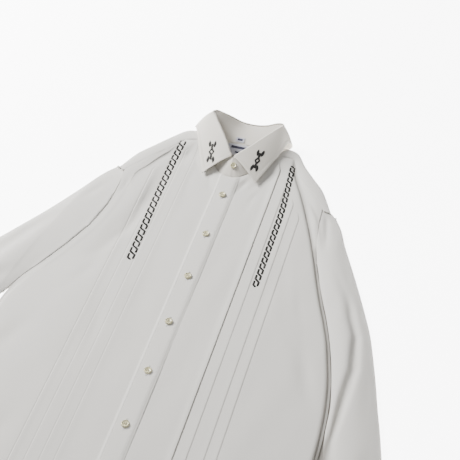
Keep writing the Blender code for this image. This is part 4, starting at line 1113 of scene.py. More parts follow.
def tube(name, sections, thick, cloth, out, folds, per, armhole=None, level=None, gather=0.0):
    """A sleeve or cuff with its folds, from key rings joined by the Hermite curve."""
    u = np.linspace(0, 1, TOP_POINTS)
    share = CROWDED * (0.5 - 0.5 * np.cos(math.pi * u)) + EVEN * u
    keys = [key_ring(sections, i, share, armhole, level) for i in range(len(sections["high"]))]
    rings = refine(keys, per)
    top = rings[:, :TOP_POINTS]
    x, y = top[..., 0], top[..., 1]
    arch = np.sin(math.pi * share)[None] ** ARCH_POWER
    length = np.linalg.norm(np.diff(top[:, TOP_POINTS // 2], axis=0), axis=1).cumsum()
    length = np.append(0.0, length)
    ends = smooth(length / CALM_START) * smooth((length[-1] - length) / CALM_END)
    calm = smooth((arch - 0.45) * 3) * ends[:, None]
    z = top[..., 2] - pressed(folds, x, y) * np.minimum(arch * 1.4, 1.0)
    z = z - calm * (pressed(FINE_SLEEVE_FOLDS, x, y) + ripple(x, y, len(name), SLEEVE_RIPPLE))
    if gather:
        left = (length[-1] - length)[:, None]
        pleat = np.cos(share[None] * 2 * math.pi * PLEATS + 1.3 * np.sin(share[None] * 17))
        z = z + gather * pleat * np.exp(-((left / GATHER_LENGTH) ** 2)) * smooth((arch - 0.3) * 3)
    rings[:, :TOP_POINTS, 2] = np.maximum(z, TUBE_EDGE * np.minimum(arch * 8, 1))
    if armhole is not None:
        rings = np.concatenate([tuck_under(rings, TOP_POINTS), rings])
    # Painted shade along the bottom of the deep fold and beside the crease.
    shade = pressed(SHADE_LINES, rings[..., 0], rings[..., 1])
    return wall(name, rings.transpose(1, 0, 2), thick, cloth, out=out, ring=True,
                shade=np.clip(shade.T, 0.0, MOST_SHADE))


sleeve_left, _ = tube(
    "sleeve_left_cloth", LEFT_SLEEVE, SLEEVE_WALL, body_cloth, -1.0, SLEEVE_FOLDS, 11,
    LEFT_ARMHOLE, ARMHOLE_LEVEL["left"], gather=GATHER_HEIGHT)
sleeve_right, _ = tube(
    "sleeve_right_cloth", RIGHT_SLEEVE, SLEEVE_WALL, body_cloth, 1.0, SLEEVE_FOLDS, 15,
    RIGHT_ARMHOLE, ARMHOLE_LEVEL["right"], gather=GATHER_HEIGHT)

# %% [markdown]
# ## Cuffs
#
# A cuff is a stiff double band, buttoned into a tube. The same function makes it, with a thicker
# wall in the whiter cloth of the collar, and it stands a little higher than the sleeve.

# %% Cuffs
CUFF_SHELL = 1.8
LEFT_CUFF = table("in_x in_y out_x out_y high", [
    (279.0, -537.2, 372.2, -502.6, 21), (280.6, -558, 376.6, -522.6, 22.5),
    (282.4, -580, 381.4, -544.6, 23), (284.2, -602, 386, -566, 23)])
RIGHT_CUFF = table("in_x in_y out_x out_y high", [
    (-361.4, -481.0, -460.6, -419.2, 20), (-372, -500, -472, -438, 21.5),
    (-384.5, -519, -484, -457, 22), (-397, -538, -496, -476, 22)])
cuff_left, cuff_left_outer = tube(
    "cuff_left_cloth", LEFT_CUFF, CUFF_SHELL, trim_cloth, -1.0, SLEEVE_FOLDS, 16)
cuff_right, cuff_right_outer = tube(
    "cuff_right_cloth", RIGHT_CUFF, CUFF_SHELL, trim_cloth, 1.0, SLEEVE_FOLDS, 16)

# %% [markdown]
# ## Collar stand
#
# The stand is the stiff ring that lifts the collar. It rises from the neck seam to the fold
# line, straight in each row, with rows round the neck. Bending a flat strip with a modifier
# would need the same two lines, so they are simply joined.

# %% Collar stand
COLLAR_SHELL = 1.3
# From the stand's outer end, round the neck, to the end that lies under it: the point on the
# neck seam and the point on the fold line above it.
STAND = table("sx sy sz tx ty tz", [
    (-22, 50.5, 9.8, -18, 64, 16.5), (-12, 42.4, 9.6, -9.5, 66, 20.5), (0, 40.4, 9.6, -3, 70.5, 25),
    (12, 42.4, 9.6, 2, 75.5, 26.5), (22, 50.5, 9.8, 10, 85, 29), (33, 61.5, 10.0, 22, 100, 31.7),
    (45, 75.9, 10.5, 36, 120, 34.8), (56, 90.9, 11.3, 48, 137, 37), (63, 102, 12.3, 57, 149, 38.6),
    (68, 112.2, 13.2, 61.8, 154.5, 39), (67.4, 115.6, 12.8, 61.5, 157.5, 38.6),
    (64.5, 118.4, 11.8, 58.5, 160, 37.6), (55, 122, 8.6, 50, 161.5, 34.2),
    (38, 125.5, 5.9, 33.5, 161.5, 26), (22, 126.9, 5.1, 18, 163.6, 20),
    (3, 127.3, 4.9, 2, 165.8, 17), (-18, 127, 5.1, -15, 166, 19),
    (-38, 125.5, 5.9, -31.3, 165.5, 26.5), (-55, 122, 8.6, -47, 163.5, 33.8),
    (-64.5, 118.4, 11.8, -57, 162.8, 37.4), (-67.4, 115.6, 12.8, -61.2, 160.6, 38.5),
    (-68, 112.2, 13.2, -62.4, 156.8, 39), (-63, 102, 12.3, -57, 149, 38.2),
    (-56, 90.9, 11.3, -47, 134, 36.6), (-45, 75.9, 10.5, -34, 116, 34),
    (-33, 62.7, 8.6, -22, 99, 30), (-22, 51.8, 7.6, -13, 84.5, 26.2),
    (-12, 43.7, 7.4, -7, 75.8, 23.3), (2, 41.8, 7.4, 1, 72.0, 23.0)])
STAND_ENDS = (0, 1, 2)
LEAF_STEPS = (2.4, *range(3, 27), 27.1)


def stand_frame(row):
    """A point of the seam, a point of the fold line and the outward normal at one row."""
    index = np.arange(len(STAND["sx"]))
    seam = np.array([np.interp(row, index, STAND[k]) for k in ("sx", "sy", "sz")])
    top, ahead, before = (np.array([glide(index, STAND[k], at) for k in ("tx", "ty", "tz")])
                          for at in (row, min(row + 0.5, index[-1]), max(row - 0.5, 0)))
    rise = (top - seam) / np.linalg.norm(top - seam)
    normal = np.cross(ahead - before, rise)
    return seam, top, rise, normal / np.linalg.norm(normal)


stand_rows = (*STAND_ENDS, *LEAF_STEPS, len(STAND["sx"]) - 1)
stand_keys = []
for row in stand_rows:
    seam, top, rise, _ = stand_frame(row)
    start = seam + rise * SEAM_GAP
    stand_keys.append([start + (top - start) * t for t in np.linspace(0, 1, 16)])
stand_keys = np.array(stand_keys)
stand_points = refine(stand_keys, 8)
stand_cloth, stand_outer = wall("collar_stand_cloth", stand_points, COLLAR_SHELL, trim_cloth)

# %% [markdown]
# ## Collar leaf
#
# The leaf is the part that is turned down, with the two points. It rolls over the stand's top on
# an arc and then follows a quadratic curve p(t) = s^2 a + 2 s t b + t^2 c down to its edge. A
# flat strip bent by a modifier would not give two different points, as this collar has.

# %% Collar leaf
COLLAR_WALL = 1.5
FOLD_RADIUS = 2.8
LEAF_LOWEST = 0.35
# The row of the stand it folds over, its handle and its outer edge.
LEAF = table("row mx my mz ex ey ez", [
    (2.4, 24, 57, 22.5, 46, 37, 12.5), (4, 33, 73, 25.5, 53, 58, 13.8),
    (5, 43, 91, 28.5, 59.5, 79, 15.5), (6, 53, 110, 31.5, 66, 99, 17.2),
    (7, 62, 128, 33.5, 72, 121.5, 19), (8, 68.5, 144, 33.5, 76.5, 139, 19),
    (9, 75, 150, 30, 82.5, 142, 12), (10, 76, 153.5, 22.5, 82, 145, 4.5),
    (11, 71, 158, 14, 77, 143, 0.3), (12, 58, 163, 10, 63, 135, 0),
    (13, 37, 163, 6, 40, 126, 0), (14, 19, 163, 4, 20, 124, 0), (15, 2, 163, 3, 2, 123, 0),
    (16, -16, 164, 4, -17, 124, 0), (17, -35, 166, 6, -38, 126, 0),
    (18, -56, 167, 10, -61, 135, 0), (19, -71, 163, 14, -78, 145, 0.3),
    (20, -79, 159, 22, -89, 147, 3.5), (21, -80, 153, 31, -92, 142, 11),
    (22, -75, 144, 34, -87, 133, 18.5), (23, -66, 127, 32, -78, 113, 18.5),
    (24, -54, 108, 29.5, -70, 93, 16.6), (25, -43, 89, 26.5, -61.5, 73, 15),
    (26, -34, 71, 24, -53, 53, 13.6), (27.1, -26, 57, 23.5, -45, 35, 12.5)])

normals = grid_normals(stand_keys, False)[len(STAND_ENDS):, -1]
leaf_keys = []
for row, line, normal in zip(LEAF_STEPS, stand_keys[len(STAND_ENDS):], normals):
    top = line[-1]
    rise = (top - line[0]) / np.linalg.norm(top - line[0])
    turn = np.radians(np.linspace(0, 90, 10))[:, None]
    arc = top + (normal * np.sin(turn) + rise * np.cos(turn)) * FOLD_RADIUS
    first = top - normal * COLLAR_WALL + rise * FOLD_RADIUS
    handle = np.array([glide(LEAF["row"], LEAF[k], row) for k in ("mx", "my", "mz")])
    edge = np.array([glide(LEAF["row"], LEAF[k], row) for k in ("ex", "ey", "ez")])
    edge[2] = max(edge[2], 0.0)
    t = np.linspace(0, 1, 34)[1:, None]
    fall = (1 - t) ** 2 * arc[-1] + 2 * t * (1 - t) * handle + t * t * edge
    leaf_keys.append(np.concatenate([first[None], arc, fall]))
leaf_points = refine(leaf_keys, 9)
leaf_points[..., 2] = np.maximum(leaf_points[..., 2], LEAF_LOWEST)
print("the leaf rises to", leaf_points[..., 2].max().round(1), "mm")

# %% [markdown]
# ## The sewn edge of the leaf
#
# How far each point is from the nearest edge, measured along the grid, gives the puff and the
# groove: 0.28 (1 - ((e - 3)/3)^2) - 0.3 exp(-((e - 6)/0.8)^2), with e that distance.

# %% The sewn edge of the leaf
LEAF_SEAM = 6.0
PUFF, LEAF_GROOVE = 0.28, 0.3


def reach_from(points, axis, last):
    """Arc length along one direction of a grid, measured from its first or last edge."""
    length = np.linalg.norm(np.diff(points, axis=axis), axis=2).cumsum(axis=axis)
    zero = np.zeros(points.shape[:2]).take([0], axis=axis)
    length = np.concatenate([zero, length], axis=axis)
    return length.take([-1], axis=axis) - length if last else length


leaf_edge = np.minimum(reach_from(leaf_points, 1, True),
                       np.minimum(reach_from(leaf_points, 0, False),
                                  reach_from(leaf_points, 0, True)))
puff = np.clip(1 - ((leaf_edge - 3.0) / 3.0) ** 2, 0, 1)
leaf_relief = PUFF * puff - LEAF_GROOVE * np.exp(-(((leaf_edge - LEAF_SEAM) / 0.8) ** 2))
leaf_cloth, leaf_outer = wall("collar_leaf_cloth", leaf_points, COLLAR_SHELL, trim_cloth,
                              out=-1.0, relief=leaf_relief)

# %% [markdown]
# ## Label and tab
#
# A woven label is sewn inside the neck, and a small tab above it against the stand. Both are
# left without writing: two plain dark bars on the label and one on the tab stand for the woven
# parts. The bars are faces with the second material, so no picture is needed.

# %% Label and tab
LABEL_WIDTH, LABEL_LENGTH, LABEL_WALL = 50.0, 22.0, 0.6
LABEL_TOP_Y, LABEL_LIFT = 124.0, 0.8
TAB_ROWS, TAB_REACH, TAB_LIFT = (15.15, 15.9), (0.08, 0.3), 0.35
# Each bar as shares of the width and of the length: left, right, low and high.
LABEL_BARS = ((0.12, 0.88, 0.62, 0.86), (0.3, 0.8, 0.2, 0.36))
TAB_BARS = ((0.18, 0.82, 0.25, 0.75),)


def paint_bars(piece, low, high, boxes):
    """Give the faces whose centres fall in shares of a range of X and Y the second material."""
    mesh = piece.data
    centres = np.zeros(len(mesh.polygons) * 3)
    mesh.polygons.foreach_get("center", centres)
    share = (centres.reshape(-1, 3)[:, :2] / MM - SHIFT[:2] - low) / (np.array(high) - low)
    inside = np.zeros(len(share), bool)
    for left, right, low_part, high_part in boxes:
        inside |= ((share[:, 0] > left) & (share[:, 0] < right)
                   & (share[:, 1] > low_part) & (share[:, 1] < high_part))
    mesh.polygons.foreach_set("material_index", inside.astype(int))
    mesh.update()


section = yoke_section(list(YOKE["tx"]).index(3.0))
grid = []
for x in np.linspace(-LABEL_WIDTH / 2, LABEL_WIDTH / 2, 61):
    y = np.linspace(LABEL_TOP_Y - LABEL_LENGTH, LABEL_TOP_Y, 31)
    z = np.interp(y, section[:, 1], section[:, 2]) + WALL + LABEL_LIFT + LABEL_WALL
    grid.append(np.stack([np.full(len(y), x), y, z], axis=1))
label_piece, _ = wall("neck_label_cloth", np.array(grid), LABEL_WALL,
                      [label_cloth, label_bar])
paint_bars(label_piece, (-LABEL_WIDTH / 2, LABEL_TOP_Y - LABEL_LENGTH),
           (LABEL_WIDTH / 2, LABEL_TOP_Y), LABEL_BARS)
grid = []
for row in np.linspace(*TAB_ROWS, 17):
    seam, top, rise, normal = stand_frame(row)
    reach = np.linspace(*TAB_REACH, 13)[:, None]
    grid.append(seam + (top - seam) * reach - normal * (COLLAR_WALL + TAB_LIFT + LABEL_WALL))
tab_piece, tab_outer = wall("size_tab_cloth", np.array(grid), LABEL_WALL,
                            [label_cloth, label_bar], out=-1.0)
tab_low, tab_high = tab_outer.reshape(-1, 3).min(0), tab_outer.reshape(-1, 3).max(0)
paint_bars(tab_piece, tab_low[:2], tab_high[:2], TAB_BARS)

# %% [markdown]
# ## Camera
#
# The camera stands where the photograph was taken from: above the tail and a little to the
# shirt's left. A long lens at some distance keeps the lines nearly parallel. The embroidery
# below is set out as it appears from here.

# %% Camera
CAMERA = np.array([340.08, -1102.13, 1176.45])
PITCH, AZIMUTH = math.radians(47.4), math.radians(16.5)
LENS, SENSOR = 78.65, 36.0
flat_look = np.array([-math.sin(AZIMUTH), math.cos(AZIMUTH), 0.0])
look = flat_look * math.cos(PITCH) + np.array([0.0, 0.0, -math.sin(PITCH)])
camera_data = bpy.data.cameras.new("photo_camera")
camera_data.lens, camera_data.sensor_width = LENS, SENSOR
camera_data.clip_start, camera_data.clip_end = 0.05, 20.0
camera = bpy.data.objects.new("photo_camera", camera_data)
camera.location = Vector((CAMERA + SHIFT) * MM)
camera.rotation_euler = Vector(look).to_track_quat("-Z", "Y").to_euler()
bpy.context.collection.objects.link(camera)
bpy.context.scene.camera = camera
print("camera above the table, mm:", CAMERA[2], "with a lens of", LENS, "mm")

# %% [markdown]
# ## Laying thread on cloth
#
# Embroidery follows the cloth that it is sewn to. A Shrinkwrap modifier could pull it down. Here
# rays are cast at the shells instead, either from the camera through a point on the plane of the
# buttons, or straight down, and each hit gives a point and a normal for the ribbon.

# %% Laying thread on cloth
BUTTON_PLANE = 9.0
ABOVE = 80.0


def tree(*outers):
    """A search tree over outer grids, for laying thread on them."""
    verts, faces, base = [], [], 0
    for outer in outers:
        rows, columns = outer.shape[:2]
        verts.extend(map(tuple, outer.reshape(-1, 3)))
        faces.extend(map(tuple, grid_quads(rows, columns, False, False, base)))
        base += rows * columns
    return BVHTree.FromPolygons(verts, faces)


def cast(surface, starts, direction):
    """Where rays meet a surface: points and normals that face back along the rays."""
    points, normals = [], []
    for start, way in zip(starts, np.broadcast_to(direction, starts.shape)):
        way = Vector(way)
        hit, normal, _, _ = surface.ray_cast(Vector(start), way)
        if hit is None:
            reach = (start[2] - BUTTON_PLANE) / -way.z
            hit, normal, _, _ = surface.find_nearest(Vector(start) + way * reach)
        if normal.dot(way) > 0:
            normal = -normal
        points.append(hit)
        normals.append(normal)
    return np.array(points), np.array(normals)


def as_seen(surface, x, y):
    """The surface points seen from the camera through (x, y) on the plane of the buttons."""
    aim = np.stack([x, y, np.full(len(x), BUTTON_PLANE)], 1)
    way = aim - CAMERA
    way = way / np.linalg.norm(way, axis=1, keepdims=True)
    return cast(surface, np.broadcast_to(CAMERA, aim.shape), way)


def straight_down(surface, x, y):
    """The surface points straight under (x, y)."""
    return cast(surface, np.stack([x, y, np.full(len(x), ABOVE)], 1), np.array([0.0, 0.0, -1.0]))


def even(path, step):
    """The same path in even steps."""
    reach = np.append(0.0, np.linalg.norm(np.diff(path, axis=0), axis=1).cumsum())
    at = np.linspace(0, reach[-1], max(int(reach[-1] / step), 2) + 1)
    return np.stack([np.interp(at, reach, path[:, k]) for k in range(path.shape[1])], 1)


print("points of a 10 mm line in steps of about 3 mm:",
      len(even(np.array([(0.0, 0.0), (10.0, 0.0)]), 3.0)))

# %% [markdown]
# ## Embroidery
#
# Each front carries a band of hooked strokes in black thread. With p the pitch, stroke k runs down
# the band from (k-1)p + g to (k+1)p - g and lies at u = -A h before its middle and u = +A h after
# it, where h rises from 0 at each crossing to 1 along the sides of the eye. So each stroke is an
# S, its middle crosses the band, and two neighbours close a six-sided eye between them.
#
# The bands follow the pin tucks, so they bend a little: each has a short table of its middle line.

# %% Lines of the bands
HOOK_GAP = 0.15
STROKE_HALF, THREAD_HIGH = 1.8, 0.55
LAST_HOOK = 0.8
EYE_SLOPE = 0.21
LEFT_PITCH, RIGHT_PITCH = 12.13, 12.7
LEFT_REACH, RIGHT_REACH = 3.3, 4.4
LEFT_BAND = table("x y", [
    (95.3, 97), (95.8, 93), (96.8, 81), (99.2, 50), (101.7, 17), (103.6, -15), (104.1, -47),
    (104.1, -78), (104, -108), (104, -138), (103.8, -164), (103.8, -172.7 - LAST_HOOK)])
RIGHT_BAND = table("x y", [
    (-100.4, 103), (-100.8, 86), (-101.2, 58), (-100.8, 23), (-100.5, -12), (-99.8, -44),
    (-98.9, -75), (-97.5, -106), (-96.5, -137), (-95.8, -161), (-95.5, -174.5 - LAST_HOOK)])
print("the bands run over", LEFT_BAND["y"][0] - LEFT_BAND["y"][-1], "and",
      RIGHT_BAND["y"][0] - RIGHT_BAND["y"][-1], "mm")

# %% Strokes of the bands
fronts = tree(front_left_outer, front_right_outer)
seam_tree = tree(front_left_outer, front_right_outer, yoke_seen)


def eye(t):
    """h over one eye, t from 0 to 1: straight out, level along the side and straight back."""
    slope = np.minimum(t, 1 - t) / EYE_SLOPE
    rounded = 0.8 + 0.2 * np.sin(np.clip((slope - 0.8) * 4, 0, math.pi / 2))
    return np.where(slope < 0.8, slope, rounded)


def band(line, pitch, reach):
    """The strokes of one band along its middle line, which ends just past a crossing."""
    middle = refine(np.stack([line["x"], line["y"]], 1), 12)
    length = np.append(0.0, np.linalg.norm(np.diff(middle, axis=0), axis=1).cumsum())
    way = tangents(middle)
    first = (length[-1] - LAST_HOOK) % pitch
    runs = []
    for k in range(-1, int((length[-1] - first) / pitch) + 1):
        cross = first + k * pitch
        low = max(cross - pitch * (1 - HOOK_GAP), 0.0)
        high = min(cross + pitch * (1 - HOOK_GAP), length[-1])
        if high - low < 2.0:
            continue
        s = np.linspace(low, high, 61)
        u = np.where(s < cross, -1.0, 1.0) * reach * eye(((s - first) / pitch) % 1.0)
        at = [np.interp(s, length, middle[:, j]) for j in (0, 1)]
        down = [np.interp(s, length, way[:, j]) for j in (0, 1)]
        place = even(np.stack([at[0] - down[1] * u, at[1] + down[0] * u], 1), 0.7)
        path, normal = as_seen(seam_tree, place[:, 0], place[:, 1])
        near = np.linspace(0, 1, len(path))
        taper = np.minimum(np.minimum(near, 1 - near) * 12 + 0.5, 1.0) ** 0.5
        runs.append((path, normal, STROKE_HALF * taper, THREAD_HIGH))
    return runs


left_embroidery = strands(
    "embroidery_band_left", band(LEFT_BAND, LEFT_PITCH, LEFT_REACH), black_thread)
right_embroidery = strands(
    "embroidery_band_right", band(RIGHT_BAND, RIGHT_PITCH, RIGHT_REACH), black_thread)

# %% [markdown]
# ## Collar motifs
#
# Each point of the collar has one motif, the same both ways up: a diamond ring |p|/a + |q|/b = 1,
# a stem at each end of it, and two leaves that open from the stem. It is drawn flat as a few
# lines in its own small frame, and then laid on the leaf by rays.

# %% Collar motifs
RING_HALF, STEM_HALF, PETAL_HALF = 1.6, 2.2, 2.45
leaf_tree = tree(leaf_outer)


def motif(top, bottom, half_length=28.0):
    """Ribbons of one motif between its apparent ends."""
    top, bottom = np.array(top, float), np.array(bottom, float)
    middle, down = (top + bottom) / 2, (bottom - top) / np.linalg.norm(bottom - top)
    right = np.array([-down[1], down[0]])
    size = np.linalg.norm(bottom - top) / 2 / half_length
    shapes = []
    diamond = np.array([(0, -8), (3.6, 0), (0, 8), (-3.6, 0), (0, -8), (1.2, -5.3)], float)
    shapes.append((even(diamond, 0.5), RING_HALF))
    for way in (-1, 1):
        stem = np.array([(0, way * 8.0), (0, way * 20.0)])
        shapes.append((even(stem, 0.5), STEM_HALF))
        for side in (-1, 1):
            t = np.linspace(0, 1, 25)
            bend = np.stack([side * (3.9 + 1.1 * t), way * (11.5 + 16.5 * t)], 1)
            shapes.append((even(bend, 0.6), PETAL_HALF))
    runs = []
    for shape, half in shapes:
        place = middle + (right * shape[:, :1] + down * shape[:, 1:]) * size
        path, normal = as_seen(leaf_tree, place[:, 0], place[:, 1])
        t = np.linspace(0, 1, len(path))
        if half == RING_HALF:
            width = np.full(len(path), half)
        elif half == PETAL_HALF:
            width = half * np.sin(math.pi * np.clip(t, 0.03, 0.97)) ** 0.6
        else:
            width = half * (0.75 + 0.25 * np.sin(math.pi * t))
        runs.append((path, normal, width, THREAD_HIGH))
    return runs


left_motif = strands("collar_motif_left", motif((34.5, 119.5), (34.1, 65.9)), black_thread)
right_motif = strands("collar_motif_right", motif((-51.95, 118.3), (-40.7, 65.05)), black_thread)

# %% [markdown]
# ## One line of stitches
#
# A machine seam shows as short rounded threads, 2 mm long with 0.8 mm between, each one sunk a
# little at its ends where it goes through the cloth. An array along a curve could repeat one
# stitch. Here a line is cut into even parts, so that every stitch bends with the cloth.

# %% One line of stitches
STITCH, STITCH_SPACE = 2.0, 0.8
STITCH_PARTS = 7
STITCH_SINK = (-0.12, 0.0, 0.06, 0.06, 0.0, -0.12)


def stitches(path, normal, half=0.24, high=0.26):
    """Cut a path into stitches."""
    both = even(np.concatenate([path, normal], 1), (STITCH + STITCH_SPACE) / STITCH_PARTS)
    sink = np.array(STITCH_SINK)[:, None]
    runs = []
    for start in range(0, len(both) - len(sink), STITCH_PARTS):
        part = both[start:start + len(sink)]
        runs.append((part[:, :3] + part[:, 3:] * sink, part[:, 3:], half, high))
    return runs


def on_grid(outer, out, distances, wanted):
    """The line on a grid where a distance field across its columns takes the wanted value."""
    both = np.concatenate([outer, grid_normals(outer, False) * out], axis=2)
    line = []
    for row, away in zip(both, distances):
        order = np.argsort(away)
        line.append([np.interp(wanted, away[order], row[order, k]) for k in range(6)])
    line = np.array(line)
    return line[:, :3], line[:, 3:]


placket_tree = tree(placket_outer)
runs = []
for x in (-PLACKET_SEAM, PLACKET_SEAM):
    y = np.arange(42.0, hem_y(x) + FRONT_HEM_LIFT + 3, -1.0)
    runs += stitches(*straight_down(placket_tree, np.full(len(y), x), y))
stitch_placket = strands("placket_stitching", runs, body_thread, 6)

# %% [markdown]
# ## Stitches of the collar
#
# The leaf is stitched 6 mm inside its edge, round all three sides, and the stand just above the
# neck seam. Distances measured along the grid of each piece say where such a line runs.

# %% Stitches of the collar
STAND_LINE = 1.8
LEAF_START = 12

edge_reach = reach_from(leaf_points, 1, True)
path, normal = on_grid(leaf_outer, -1.0, edge_reach, LEAF_SEAM)
inside = (reach_from(leaf_points, 0, False)[:, -1] > LEAF_SEAM) & \
         (reach_from(leaf_points, 0, True)[:, -1] > LEAF_SEAM)
runs = stitches(path[inside], normal[inside])
for last in (False, True):
    flipped = leaf_outer.transpose(1, 0, 2)
    path, normal = on_grid(flipped, 1.0, reach_from(leaf_points, 0, last).T, LEAF_SEAM)
    keep = (edge_reach[-1 if last else 0] > LEAF_SEAM) & (np.arange(len(path)) > LEAF_START)
    runs += stitches(path[keep], normal[keep])
stitch_leaf = strands("collar_leaf_stitching", runs, trim_thread, 6)

path, normal = on_grid(stand_outer, 1.0, reach_from(stand_points, 1, False), STAND_LINE)
stitch_stand = strands("collar_stand_stitching", stitches(path, normal), trim_thread, 6)

# %% [markdown]
# ## Stitches of the yoke, cuffs and hem
#
# The yoke is stitched beside both front seams, the cuffs beside both ends, and the hem 8 mm up.

# %% Stitches of the yoke, cuffs and hem
YOKE_LINE, CUFF_LINE, HEM_LINE = 1.6, 4.0, 8.0

yoke_reach = reach_from(yoke_points[:, :-TURNED_ROWS], 1, True)
count = len(YOKE["part"])
runs = []
for first, last in ((1, 5), (count - 6, count - 2)):
    rows = slice(first * YOKE_BETWEEN, last * YOKE_BETWEEN + 1)
    runs += stitches(*on_grid(yoke_seen[rows], -1.0, yoke_reach[rows], YOKE_LINE))
stitch_yoke = strands("yoke_stitching", runs, body_thread, 6)

runs = []
for outer, out in ((cuff_left_outer, -1.0), (cuff_right_outer, 1.0)):
    top = outer[2:TOP_POINTS - 2]
    for last in (False, True):
        runs += stitches(*on_grid(top, out, reach_from(top, 1, last), CUFF_LINE))
stitch_cuffs = strands("cuff_stitching", runs, trim_thread, 6)

runs = []
for sign in (-1, 1):
    x = np.arange(19.0, 246.0, 1.0) * sign
    y = hem_y(x) + FRONT_HEM_LIFT + HEM_LINE
    runs += stitches(*straight_down(fronts, x, y))
stitch_hem = strands("hem_stitching", runs, body_thread, 6)

# %% [markdown]
# ## Where the buttons are
#
# Seven buttons close the placket, 90 mm apart, one the collar and one each cuff. Each is known
# by its centre, the way it faces and its diameter.

# %% Where the buttons are
BUTTON_DIAMETER, BUTTON_THICKNESS = 11.5, 2.6
BUTTON_SPACING, FRONT_BUTTONS = 90.0, 7
COLLAR_BUTTON_ROW, COLLAR_BUTTON_UP = 2.45, 0.58


def button_rows():
    """Name, centre, upward direction and diameter of each button."""
    neck_y, neck_z = neck_edge(0.0, LEFT_SIDE, LEFT_YOKE_TOP)
    rows = []
    for i in range(FRONT_BUTTONS):
        x, y = BUTTON_PLACE[0], BUTTON_PLACE[1] - i * BUTTON_SPACING
        under = body_level(0.0, y + BUTTON_DIAMETER / 2, neck_y, neck_z)
        rows.append((f"button_{i + 1}", (x, y, under + PLACKET_LIFT + WALL + 0.3),
                     (0, 0, 1), BUTTON_DIAMETER))
    seam, top, _, normal = stand_frame(COLLAR_BUTTON_ROW)
    rows.append(("button_collar", seam + (top - seam) * COLLAR_BUTTON_UP + normal * 0.5, normal,
                 BUTTON_DIAMETER - 1.0))
    for name, cuff in (("cuff_button_left", LEFT_CUFF), ("cuff_button_right", RIGHT_CUFF)):
        middle = [(cuff["in" + k][1:3].mean() + cuff["out" + k][1:3].mean()) / 2
                  for k in ("_x", "_y")]
        rows.append((name, (*middle, cuff["high"][1:3].mean() + 0.5), (0, 0, 1),
                     BUTTON_DIAMETER - 1.5))
    return rows


for name, centre, _, diameter in button_rows():
    print(name, np.array(centre, float).round(1), diameter, "mm across")

# %% [markdown]
# ## Buttons
#
# A button is a disc with a rounded rim, a dished middle and four holes. It could be lathed, with
# the holes cut by a Boolean. Here it is one height field in polar coordinates: a rim,
# exp(-((r - 0.78)/0.13)^2), that falls off outside, less 1.35 mm inside each hole. Threads run
# from hole to hole and hold the button.

# %% Buttons
HOLE_RADIUS, HOLE_REACH, HOLE_DEPTH = 0.85, 1.75, 1.35
RIM_AT, RIM_WIDTH, DISH = 0.78, 0.13, 0.62
THREAD_LANES = (-0.42, 0.0, 0.42)


def button(name, centre, up, diameter):
    """One button and the threads through its holes."""
    radius, scale = diameter / 2, diameter / BUTTON_DIAMETER
    up = np.array(up, float) / np.linalg.norm(up)
    across = np.cross((0.0, 1.0, 0.0), up)
    across = across / np.linalg.norm(across)
    forward = np.cross(up, across)
    reach = np.concatenate([np.linspace(0.06, 3.2 * scale, 27),
                            np.linspace(3.4 * scale, radius * 0.97, 12)])
    angle = np.linspace(0, 2 * math.pi, 72, endpoint=False)
    r, a = np.meshgrid(reach, angle, indexing="ij")
    x, y = r * np.cos(a), r * np.sin(a)
    share = r / radius
    high = BUTTON_THICKNESS * (DISH + 0.38 * np.exp(-(((share - RIM_AT) / RIM_WIDTH) ** 2))
                               - 0.5 * smooth((share - 0.86) / 0.2))
    step = HOLE_REACH * scale / math.sqrt(2)
    gap = np.hypot(abs(x) - step, abs(y) - step)
    high = high - HOLE_DEPTH * smooth((HOLE_RADIUS * scale + 0.12 - gap) / 0.24)
    rim = np.radians(np.linspace(20, 90, 5))
    rims = [(radius * (0.94 + 0.06 * math.sin(t)), BUTTON_THICKNESS * 0.5 * math.cos(t) * 0.9
             + BUTTON_THICKNESS * 0.2) for t in rim]
    rims += [(radius * 0.93, 0.15), (radius * 0.75, 0.0), (0.05, 0.0)]
    points = [np.stack([x, y, high], -1)]
    for rr, hh in rims:
        points.append(np.stack([rr * np.cos(angle), rr * np.sin(angle),
                                np.full(len(angle), hh)], -1)[None])
    flat = np.concatenate(points)
    world = np.array(centre) + (flat[..., :1] * across + flat[..., 1:2] * forward
                                + flat[..., 2:] * up)
    ring = world.transpose(1, 0, 2)
    quads = grid_quads(len(angle), len(flat), True, True)
    caps = []
    for column in (0, len(flat) - 1):
        for k in range(1, len(angle) // 2):
            quad = [(k - 1) * len(flat), k * len(flat), (len(angle) - 1 - k) * len(flat),
                    ((len(angle) - k) % len(angle)) * len(flat)]
            quad = [q + column for q in quad]
            caps.append(quad if column == 0 else quad[::-1])
    piece = mesh_object(name + "_pearl", ring.reshape(-1, 3),
                        np.concatenate([quads, np.array(caps)]), pearl)
    runs = []
    for side in (-1, 1):
        for lane in THREAD_LANES:
            t = np.linspace(-1.12, 1.12, 17)
            over = (BUTTON_THICKNESS * DISH + 0.42
                    - 1.1 * np.maximum(abs(t) - 0.7, 0) ** 1.5 * 4)
            bar = np.stack([side * step + lane * scale + 0 * t, t * step, over], -1)
            path = np.array(centre) + bar[:, :1] * across + bar[:, 1:2] * forward + bar[:, 2:] * up
            runs.append((path, np.broadcast_to(up, path.shape), 0.21 * scale, 0.2))
    return piece, strands(name + "_thread", runs, button_thread, 8)


button_pieces = {row[0]: button(*row) for row in button_rows()}

# %% [markdown]
# ## Buttonholes
#
# Under each front button is a slit, edged with close satin stitches across it and a bar at each
# end. The slit itself stays shut, so the stitches alone are laid on the placket.

# %% Buttonholes
SLIT_PAST_BUTTON = 2.2
SATIN_STEP, SATIN_IN, SATIN_OUT = 0.55, 0.15, 1.35

